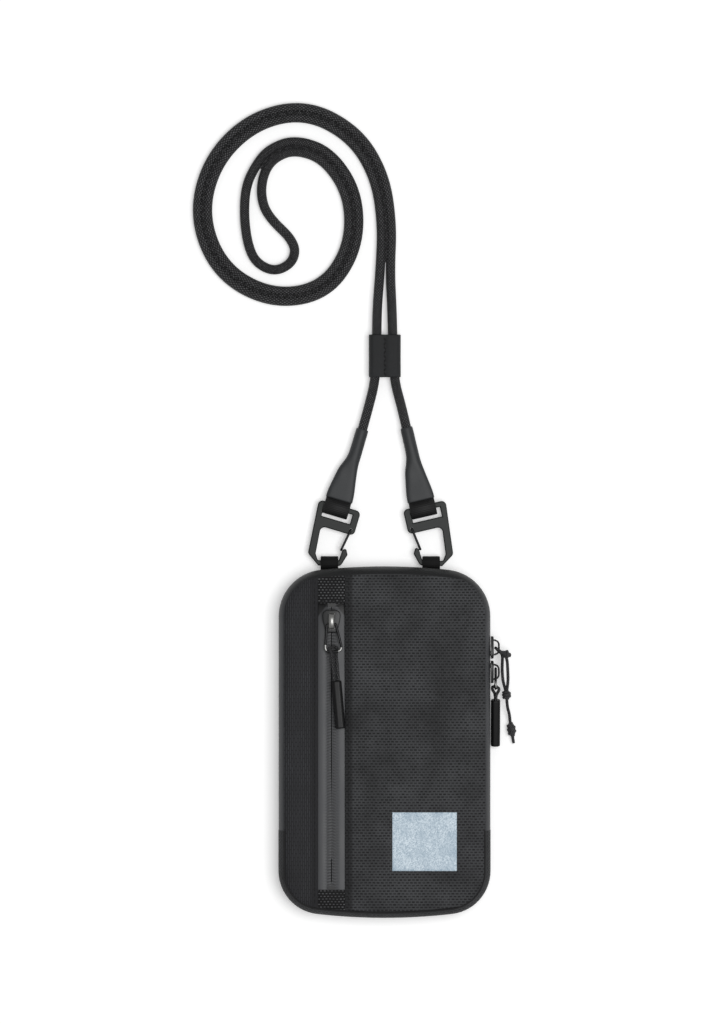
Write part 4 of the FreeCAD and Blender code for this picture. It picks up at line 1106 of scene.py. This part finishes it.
class POUCH_OT_gusset(bpy.types.Operator):
    """Fabric strip round the bottom that both halves turn on"""
    bl_idname = "pouch.gusset"
    bl_label = "Bottom gusset"

    def execute(self, context):
        colours, sizes = groups(context)
        proud = sizes.gusset_proud / MM
        stations = rim(False, -GUSSET_TOP, 18)
        rise = MIDDLE - FABRIC + GUSSET_LAP
        tuck = PANEL_IN + GUSSET_TUCK
        # a half round that is pressed in a little where it meets the panels
        outer = [(PANEL_IN * (1 - math.sin(turn)) - proud * math.sin(turn),
                  MIDDLE + rise * math.cos(turn) * (1 - GUSSET_PRESS * abs(math.cos(turn)) ** PRESS_POWER))
                 for turn in eased(0.0, math.pi, 26)]
        outer = [(tuck, outer[0][1] - GUSSET_DROP)] + outer + [(tuck, outer[-1][1] + GUSSET_DROP)]
        inner = [(inset + GUSSET_WALL * (0.2 + math.sin(math.pi * number / (len(outer) - 1))),
                  MIDDLE + (height - MIDDLE) * GUSSET_INSIDE) for number, (inset, height) in enumerate(outer)]
        # the same weave on the dark side of the pouch, a little finer
        finish = woven("gusset_weave", linear("0d0d0e"), linear("3c3d3f"), 2.0, 1.5, uv=True, gap=0.5,
                       net=True)
        gusset = piece("gusset_cloth", band(stations, outer, inner), finish, None, ["bottom_gusset"],
                       "coarse_fabric", sharp=60)
        seam = [Vector((*(place - way * SEAM_INSET), SEAM_LEVEL)) for place, way in stations]
        line("gusset_seam_thread", seam, SEAM_THREAD, thread_finish(colours), "front_shell",
             slot="coarse_fabric")
        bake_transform(gusset)
        return {"FINISHED"}


# Inside: thickness of the back cloth and the linings, how far their edges and the pads' roll over, how deep
# the linings sink, and the pocket's lift off its floor and room under its top
BACK_THICK, LINING_THICK = FABRIC * 0.9, 0.5
BACK_ROLL, PAD_ROLL, LINING_ROLL, POCKET_ROLL = 2.6, 1.2, 3, 1.5
LINING_SINK, POCKET_LIFT, POCKET_ROOM = 0.25, 0.55, 0.6


def pad_rows(inset, low, high):
    """Rings of a closed pad inside the outline, crowned over its rolled edge."""
    middle, half = (low + high) / 2, (high - low) / 2
    edge = HALF_W - inset
    upper, lower = (
        cloth_rows(-edge, edge, inset,
                   lambda x, y: middle + way * half * (1 - edge_fall(x, y, inset, PAD_ROLL)), 36, 56)
        for way in (1, -1))
    return [above + below[-2:0:-1] for above, below in zip(upper, lower)]


class POUCH_OT_inside(bpy.types.Operator):
    """Back panel, foam pads, linings and the pocket behind the front zip"""
    bl_idname = "pouch.inside"
    bl_label = "Back and inside"

    def execute(self, context):
        colours = context.scene.pouch_colours
        # open-cell foam; its cells are under 0.4 mm, drawn at 0.8 mm so that they show
        foam = coated("open_cell_foam", colours.foam, linear("1a1a1b"), 0.8, 0.9, depth=0.3)
        # light lining taffeta; its yarn is under 0.3 mm, drawn at 0.8 mm so that it shows
        taffeta = woven("lining_taffeta", colours.lining, linear("4c4e52"), 0.8, 0.6, raised=0.1)
        edge = HALF_W - PANEL_IN
        rows = cloth_rows(edge, -edge, PANEL_IN,
                          lambda x, y: FABRIC * edge_fall(x, y, PANEL_IN, BACK_ROLL), 44, 80)
        panel("back_panel_cloth", rows, cloth_finish("coarse_polyester_weave", colours), "back_shell",
              "back_panel", "coarse_fabric", BACK_THICK)
        for half, way in (("back", 1), ("front", -1)):
            padding, body = f"{half}_padding", f"{half}_shell"
            edge = span(padding, 0)[1]
            inset = HALF_W - edge
            pad = skin(pad_rows(inset, *span(padding, 2)), tube=True)
            piece(f"{half}_foam_pad", pad, foam, body, [padding], "foam")
            level = span(f"{half}_lining", 2)[way > 0]
            rows = cloth_rows(-way * edge, way * edge, inset,
                              lambda x, y: level - way * LINING_SINK * edge_fall(x, y, inset, LINING_ROLL),
                              40, 60)
            panel(f"{half}_lining_cloth", rows, taffeta, body, f"{half}_lining", "lining", LINING_THICK)
        floor, top = span("pocket_lining", 2)
        edge = span("pocket_lining", 0)[1]
        inset = HALF_W - edge
        base, room = floor + POCKET_LIFT, top - floor - POCKET_ROOM
        rows = cloth_rows(-edge, edge, inset,
                          lambda x, y: base + room * edge_fall(x, y, inset, POCKET_ROLL), 44, 70)
        panel("pocket_cloth", rows, taffeta, "front_shell", "pocket_lining", "lining", LINING_THICK)
        return {"FINISHED"}


# Zip slider about its place on the zip, +Y its nose: half its width, half its width at the tail, half its
# length, and its plate's height over the tape and thickness
SLIDER_HALF, SLIDER_TAIL, SLIDER_NOSE = 5.0, 3.2, 6.2
PLATE_GAP, PLATE = 0.3, 1.5
SHOULDER = 1.5
# Rounds of the plate's corners at each place along Y, and of its upper rim
CORNER_ROUNDS = ((SLIDER_NOSE, 2.7), (-SLIDER_NOSE, 1.2), (SHOULDER, 1.5))
RIM_ROUND = 0.55
# The post through the slit and how far forward it stands, and the inner plate and its place
POST_WIDTH, POST_DEPTH, POST_AT = 0.3, 3.0, 3.4
INNER_PLATE, INNER_AT, INNER_ROUND = (6.4, 10.6, 0.9), 0.2, 0.3
# The crown's width, thickness and soft edge, and its arch along Y and up
CROWN_BAND = (3.0, 1.0, 0.3)
CROWN_ARCH = [(-4.1, -0.3), (-3.9, 1.0), (-3.3, 2.2), (-2.2, 2.85), (0.0, 3.0), (2.2, 2.85), (3.3, 2.2),
              (3.9, 1.0), (4.1, -0.3)]
# How deep each slider reaches through its zip
BITES = {"front": 2.1, "lower": 2.8, "upper": 2.8}


def rounded_edges(bm, edges, offset, segments):
    bmesh.ops.bevel(bm, geom=edges, offset=offset, segments=segments, profile=0.5, affect="EDGES",
                    material=-1)


def block(bm, place, size):
    """Adds a block and gives its corners."""
    return bmesh.ops.create_cube(bm, size=1.0, matrix=Matrix.Translation(place)
                                 @ Matrix.Diagonal((*size, 1)))["verts"]


def slider_shape(bite):
    """Shield plate, arched crown, post and inner plate of a slider."""
    bm = bmesh.new()
    right = [(SLIDER_TAIL, -SLIDER_NOSE), (SLIDER_HALF, SHOULDER), (SLIDER_HALF, SLIDER_NOSE)]
    shield = [(-SLIDER_TAIL, -SLIDER_NOSE)] + right + [(-SLIDER_HALF, SLIDER_NOSE), (-SLIDER_HALF, SHOULDER)]
    face = bm.faces.new([bm.verts.new((x, y, PLATE_GAP)) for x, y in shield])
    top = bmesh.ops.extrude_face_region(bm, geom=[face])["geom"]
    raised = [part for part in top if isinstance(part, bmesh.types.BMVert)]
    bmesh.ops.translate(bm, vec=(0, 0, PLATE), verts=raised)
    for reach, offset in CORNER_ROUNDS:
        upright = [edge for edge in bm.edges if abs(edge.verts[0].co.z - edge.verts[1].co.z) > 0.1
                   and abs(edge.verts[0].co.y - reach) < 0.01]
        rounded_edges(bm, upright, offset, 5)
    base = PLATE_GAP + PLATE
    rims = [edge for edge in bm.edges if all(vert.co.z > base - 0.01 for vert in edge.verts)]
    rounded_edges(bm, rims, RIM_ROUND, 3)
    crown = ribbon([(y, base + z) for y, z in CROWN_ARCH], *CROWN_BAND)
    for face in crown.faces:
        face.material_index = 1
    join(bm, crown)
    bmesh.ops.recalc_face_normals(bm, faces=bm.faces[:])
    block(bm, (0, POST_AT, PLATE_GAP - bite / 2), (POST_WIDTH, POST_DEPTH, bite + 2 * PLATE_GAP))
    inner = block(bm, (0, INNER_AT, -bite - INNER_PLATE[2] / 2), INNER_PLATE)
    rounded_edges(bm, list({edge for vert in inner for edge in vert.link_edges}), INNER_ROUND, 2)
    return bm


class POUCH_OT_sliders(bpy.types.Operator):
    """Three zip sliders"""
    bl_idname = "pouch.sliders"
    bl_label = "Zip sliders"

    def execute(self, context):
        colours = context.scene.pouch_colours
        # die-cast zinc in black paint, rubbed bright on its edges
        paint = painted_metal("painted_zinc_slider", colours.slider, colours.worn, 0.25, 0.42, 0.7)
        # pale bare zinc with a soft gloss on the front crown only, a painted highlight where it catches the
        # light; the side crowns keep the black paint
        bare = painted_metal("rubbed_zinc_crown", linear("8f8f8d"), colours.worn, 0.9, 0.34, 0.9)
        to_right = turned(math.pi / 2, "Y")
        turns = {"front": Matrix(), "lower": to_right, "upper": to_right @ turned(math.pi, "Z")}
        for side, turn in turns.items():
            node = f"{side}_slider"
            along = middle_of(node, 1)
            place = (ZIP_X, along, ZIP_FACE) if side == "front" else (HALF_W, along, MIDDLE)
            slider = piece(f"{side}_slider_body", slider_shape(BITES[side]), paint, f"{side}_zip_slider",
                           [node], "slider_metal", matrix=Matrix.Translation(place) @ turn)
            # the front crown takes the painted highlight, the others the paint
            slider.data.materials.append(bare if side == "front" else paint)
        return {"FINISHED"}


# Rings, cords and grips of the pulls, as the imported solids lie
RING_WIRE, RING_HEAD, RING_FOOT = 1.3, 2.55, 4.5
GRIP_BORE = 3.4
FRONT_TILT, FRONT_RISE, FRONT_FALL, SIDE_FALL = map(math.radians, (5.0, 1.6, 2.0, 12.5))
SIDE_RING = 12.6
DROPS = {"front": 16.0, "lower": 6.2}
BIGHTS = {"front": 2.1, "lower": 0.9}
PULL_LENGTHS = {"front": 44.6, "lower": 25.4}


def ring_points(length):
    """Control points of a ring: narrow in the slider's crown, wide at its foot."""
    head, foot = RING_HEAD, RING_FOOT
    end = RING_WIRE - length
    right = [(head * 0.8, 0, 0), (head, -0.2, 0), (head + 0.15, -1.6, 0), (foot - 0.3, end + 4.6, 0),
             (foot, end + 2.6, 0), (foot - 0.5, end + 0.9, 0), (foot * 0.62, end, 0)]
    return [(0, 0, 0)] + right + [(-x, y, z) for x, y, z in reversed(right)]


def pull_points(cord, drop, bight):
    """Control points of the thin cord: up from the grip, over the ring's foot bar and back.

    bight is how far the bend stands off above the bar.
    """
    aside = 0.7 * cord
    over = RING_WIRE / 2 + aside
    wide = aside * (0.55 + 0.5 * bight)
    half = [(-aside, 0.3 - drop - GRIP_BORE, 0), (-aside, 0.4 * cord - drop, 0),
            (-aside, -drop * 0.4, over * 0.3), (-aside * 0.95, -0.6 * cord, over * 0.95),
            (-wide, 0.41 * over, over), (-wide, bight, 0.5 * over),
            (-wide * 0.4, bight + 0.41 * over, 0.2 * over)]
    return half + [(-x, y, -z) for x, y, z in reversed(half)]


class POUCH_OT_pulls(bpy.types.Operator):
    """Ring, thin cord and moulded grip of the front slider and of the lower side slider"""
    bl_idname = "pouch.pulls"
    bl_label = "Ring pulls"

    def execute(self, context):
        colours, sizes = groups(context)
        cord = sizes.thin_cord / MM
        ring_finish = rubbed_ring()
        # moulded PVC: satin black with a faint orange-peel skin
        grip_finish = coated("moulded_pvc_grip", colours.grip, linear("0a0a0b"), 1.2, 0.42, depth=0.02,
                             shine=0.22)
        tilt = turned(FRONT_TILT, "Z")
        front_eye = at_joint("front_ring_lift") @ tilt @ turned(-FRONT_RISE, "X")
        front_bar = at_joint("front_pull_swing") @ tilt @ turned(FRONT_FALL - FRONT_RISE, "X")
        front_ring = (joint_spot("front_pull_swing") - joint_spot("front_ring_lift")).length + RING_WIRE
        side_eye = at_joint("lower_pull_swing") @ turned(math.pi / 2, "Y")
        side_bar = side_eye @ Matrix.Translation((0, RING_WIRE - SIDE_RING, 0)) @ turned(SIDE_FALL, "Z")
        for side, eye, bar, ring, ring_body in (("front", front_eye, front_bar, front_ring, "front_ring"),
                                                ("lower", side_eye, side_bar, SIDE_RING, "lower_pull")):
            line(f"{side}_ring_wire", ring_points(ring), RING_WIRE, ring_finish, ring_body,
                 [f"{side}_pull_ring"], "ring_metal", closed=True, matrix=eye)
            points = [tuple(bar @ Vector(point)) for point in pull_points(cord, DROPS[side], BIGHTS[side])]
            finish = thin_braid(colours, f"thin_braid_{side}", PULL_LENGTHS[side], cord)
            thin = line(f"{side}_thin_cord", points, cord, finish, f"{side}_pull", [f"{side}_pull_cord"],
                        "thin_cord")
            if side == "front":
                Vector(points[0]) * MM
            dress(f"{side}_pull_grip", grip_finish)
        return {"FINISHED"}


# Knotted cord of the upper slider, from the slider's place
UPPER_LOOP = [
    (9.0, -25.8, -2.6), (9.3, -23.4, -1.5), (9.9, -18.5, 0.6), (9.6, -12.0, 1.6), (9.3, -6.6, 1.4),
    (7.8, -3.6, 2.2), (5.4, -2.2, 3.6), (2.95, -0.3, 3.6), (2.95, -0.3, -3.6), (5.0, -2.4, -3.8),
    (6.8, -4.0, -3.2), (6.8, -7.0, -2.6), (6.6, -12.0, -3.4), (7.0, -18.5, -3.2), (8.4, -23.4, -3.2),
    (8.9, -25.8, -2.8),
]
UPPER_HITCH = [(6.0, -2.9, 0.0), (11.4, -4.8, -0.4)]
UPPER_TAIL = [(9.25, -29.5, -3.4), (9.55, -33.5, -4.2), (10.85, -37.3, -5.8), (11.15, -41.1, -7.6)]
END_KNOT = Vector((1.6, -9.6, -0.4))
UPPER_LENGTH, TAIL_LENGTH = 57.4, 12.6


def knot_shape(start, end, cord, turns, core, tail=0.0):
    """Barrel knot: the cord wound round itself from start to end, with its own run through the middle.

    core is that run's thickness half way, in cords, and tail the share of its length that hangs on past it.
    """
    way = end - start
    radius, length = cord / 2, way.length
    ring = cord * 1.03
    count = turns * 16
    up = Vector((0, 0, 1))
    rows = []
    for step in range(count + 1):
        share = step / count
        angle = FULL_TURN * turns * share
        ease = min(1.0, 5 * share, 5 * (1 - share))
        out = Vector((math.cos(angle), math.sin(angle), 0))
        centre = out * ring * (0.35 + 0.65 * ease) + up * length * (0.16 + 0.68 * share)
        rows.append([centre + (out * x + up * z) * radius for x, z in circle(12)])
    bm = rod(rows)
    run = ((0.0, 0.9), (0.1, 1.0), (0.22, core * 0.72), (0.36, core * 0.94), (0.5, core), (0.64, core * 0.94),
           (0.78, core * 0.72), (0.9, 1.0), (1.0 + tail, 0.9))
    join(bm, rod([[Vector((radius * pull * x, radius * pull * y, length * along)) for x, y in circle(14)]
                  for along, pull in run]))
    place = Matrix.Translation(start) @ way.to_track_quat("Z", "Y").to_matrix().to_4x4()
    bmesh.ops.transform(bm, matrix=place, verts=bm.verts[:])
    return bm


class POUCH_OT_upper_pull(bpy.types.Operator):
    """Thin cord through the upper slider, knotted below it, with a tail to an end knot"""
    bl_idname = "pouch.upper_pull"
    bl_label = "Cord pull"

    def execute(self, context):
        colours, sizes = groups(context)
        cord = sizes.thin_cord / MM
        seat = Vector((HALF_W, middle_of("upper_slider", 1), MIDDLE))
        loop, tail, hitch = ([Vector(point) + seat for point in points]
                             for points in (UPPER_LOOP, UPPER_TAIL, UPPER_HITCH))
        finish = thin_braid(colours, "thin_braid_upper", UPPER_LENGTH, cord)
        thin = line("upper_thin_cord", loop, cord, finish, "upper_pull", ["upper_pull_cord"], "thin_cord")
        tail_finish = thin_braid(colours, "thin_braid_tail", TAIL_LENGTH, cord)
        end = line("upper_thin_tail", tail, cord, tail_finish, "upper_pull", ["upper_pull_tail"], "thin_cord")
        # the same braid, its ribs drawn along the wound cord
        wound = ribbed("wound_thin_cord", colours.cord, linear("0a0a0b"), 0.9, 0.7, depth=0.15)
        for name, *knot in (("upper_pull_hitch", *hitch, cord, 2, 2.4),
                            ("upper_pull_knot", (loop[1] + loop[-2]) / 2, tail[0], cord, 3, 1.8),
                            ("upper_pull_end_knot", tail[-1], tail[-1] + END_KNOT, cord, 3, 2.7, 0.3)):
            # the hitch has no solid to stand for
            nodes = [name] if name in frame["nodes"] else []
            piece(f"{name}_wraps", knot_shape(*knot), wound, "upper_pull", nodes, "thin_cord")
        return {"FINISHED"}


# Webbing of the tabs and straps: its bend's radius, half the gap of its plies, its reach and slack, and its
# width and thickness
TAB_LOOP, TAB_BAND = (3.3, 0.62, 9.0), (9.8, 1.15)
STRAP_LOOP, STRAP_BAND = (3.65, 0.6, SLEEVE_SEAT + 3.4, 0.9), (14.4, 1.1)


class POUCH_OT_tabs(bpy.types.Operator):
    """Two webbing tabs, folded round the hooks' bars and sewn into the top edge"""
    bl_idname = "pouch.tabs"
    bl_label = "Tabs"

    def execute(self, context):
        # nylon webbing with ribs across it, in a deeper black than the straps
        finish = ribbed("black_nylon_webbing", linear("08080a"), linear("040404"), 0.8, rough=0.8, depth=0.12)
        for side in LEANS:
            piece(f"{side}_tab_webbing", ribbon(loop_path(*TAB_LOOP), *TAB_BAND), finish, "back_shell",
                  [f"{side}_tab"], "webbing", matrix=at_joint(f"hook_lift_{side}") @ turned(math.pi, "Z"))
        return {"FINISHED"}


class POUCH_OT_hooks(bpy.types.Operator):
    """Coated metal hooks with wire gates"""
    bl_idname = "pouch.hooks"
    bl_label = "Hooks"

    def execute(self, context):
        colours = context.scene.pouch_colours
        # zinc under a satin coat, and wire blackened all over
        hook = painted_metal("satin_coated_zinc_hook", colours.hook, linear("8d9090"), 0.2, 0.45, 0.45,
                             shine=0.3)
        wire = painted_metal("blackened_steel_wire", colours.wire, colours.worn, 0.85, 0.34, 0.3)
        for side in LEANS:
            dress(f"{side}_hook", hook)
            dress(f"{side}_gate", wire)
        return {"FINISHED"}


# Sleeve: share of its length, width, thickness. Its wall turns in at both mouths, and between them it is a
# flat flare over the webbing and a round neck on the cord
SLEEVE_STATIONS = [
    (0.09, 14.5, 2.7), (0.0, 14.6, 3.0), (-0.008, 15.0, 4.2), (0.0, 15.4, 4.9), (0.1, 15.0, 4.9),
    (0.2, 13.6, 5.0), (0.3, 12.2, 5.1), (0.38, 11.2, 5.3), (0.45, 10.0, 5.6), (0.51, 8.7, 6.0),
    (0.57, 7.7, 6.5), (0.64, 7.2, 6.8), (0.75, 7.0, 6.9), (0.88, 7.0, 7.0), (0.97, 7.0, 7.0),
    (1.0, 6.8, 6.8), (1.008, 6.3, 6.3), (1.0, 5.7, 5.7), (0.97, 5.6, 5.6),
]
NECK_WIDTH = 7.0
# Where along it the flare ends and over what share it fades, how square a flat ring is, and the dents' depth,
# width and count along the sleeve
FLARE_END, FLARE_FADE, SQUARENESS = 0.62, 0.2, 2.2
DENT, DENT_WIDTH, DENT_COUNT = 0.1, 5, 7
# Straps and flares lie a little left of the hook's middle
ASIDES = {"left": -1.4, "right": -1.1}


def sleeve_rows(aside):
    """Rings of a sleeve, from a rounded box at the webbing to a circle at the cord, with shallow dents."""
    rows = []
    for share, width, thick in SLEEVE_STATIONS:
        shift = aside * limited((FLARE_END - share) / FLARE_FADE)
        power = 2 / (2.0 + SQUARENESS * max(0.0, (width - thick) / 10))
        row = []
        for x, z in circle(32):
            across = math.copysign(abs(x) ** power, x) * width / 2
            rough = noise.noise(Vector((across / DENT_WIDTH, share * DENT_COUNT, aside)))
            dent = 1 + DENT * rough * (width > NECK_WIDTH)
            row.append(Vector((across + shift, SLEEVE_SEAT + share * SLEEVE_LENGTH,
                               math.copysign(abs(z) ** power, z) * thick * dent / 2)))
        rows.append(row)
    return rows


class POUCH_OT_straps(bpy.types.Operator):
    """Webbing loops in the hooks' slots, and the rubber sleeves that hold them to the cord"""
    bl_idname = "pouch.straps"
    bl_label = "Straps and sleeves"

    def execute(self, context):
        colours = context.scene.pouch_colours
        # nylon webbing with ribs across it
        webbing = ribbed("nylon_webbing", linear("1d1d1e"), colours.webbing, 0.8, depth=0.12)
        # heat-shrunk rubber: matt, dark grey, faintly cloudy
        rubber = coated("shrunk_rubber_sleeve", colours.sleeve, linear("26282a"), 0.7, 0.55, depth=0.06)
        for side, aside in ASIDES.items():
            place, body = strap_frame(side), f"{side}_strap_body"
            strap = ribbon(loop_path(*STRAP_LOOP), *STRAP_BAND)
            piece(f"{side}_strap_webbing", strap, webbing, body, [f"{side}_strap"], "webbing",
                  matrix=place @ Matrix.Translation((aside, 0.0, 0.0)))
            sleeve = piece(f"{side}_sleeve_rubber", rod(sleeve_rows(aside)), rubber, body, [f"{side}_sleeve"],
                           "sleeve", matrix=place)
            smooth = sleeve.modifiers.new("Smooth", "SUBSURF")
            smooth.levels = smooth.render_levels = 1
        return {"FINISHED"}


OPERATORS = (POUCH_OT_stage, POUCH_OT_neck_cord, POUCH_OT_keeper, POUCH_OT_front_cloth, POUCH_OT_patch,
             POUCH_OT_front_zip, POUCH_OT_main_zip, POUCH_OT_gusset, POUCH_OT_inside, POUCH_OT_sliders,
             POUCH_OT_pulls, POUCH_OT_upper_pull, POUCH_OT_tabs, POUCH_OT_hooks, POUCH_OT_straps)


class POUCH_PT_pieces(bpy.types.Panel):
    """Lists the pouch's pieces and its sizes and colours"""
    bl_idname = "POUCH_PT_pieces"
    bl_label = "Phone pouch"
    bl_space_type = "VIEW_3D"
    bl_region_type = "UI"
    bl_category = "Pouch"

    def draw(self, context):
        layout = self.layout
        for group in groups(context):
            for name in group.__annotations__:
                layout.prop(group, name)
        for operator in OPERATORS:
            layout.operator(operator.bl_idname)


CLASSES = (PouchColours, PouchSizes) + OPERATORS + (POUCH_PT_pieces,)


def register():
    for cls in CLASSES:
        bpy.utils.register_class(cls)
    bpy.types.Scene.pouch_colours = PointerProperty(type=PouchColours)
    bpy.types.Scene.pouch_sizes = PointerProperty(type=PouchSizes)


def unregister():
    del bpy.types.Scene.pouch_sizes
    del bpy.types.Scene.pouch_colours
    for cls in reversed(CLASSES):
        bpy.utils.unregister_class(cls)


def main():
    register()
    for operator in OPERATORS:
        group, name = operator.bl_idname.split(".")
        getattr(getattr(bpy.ops, group), name)()


if __name__ == "__main__":
    main()
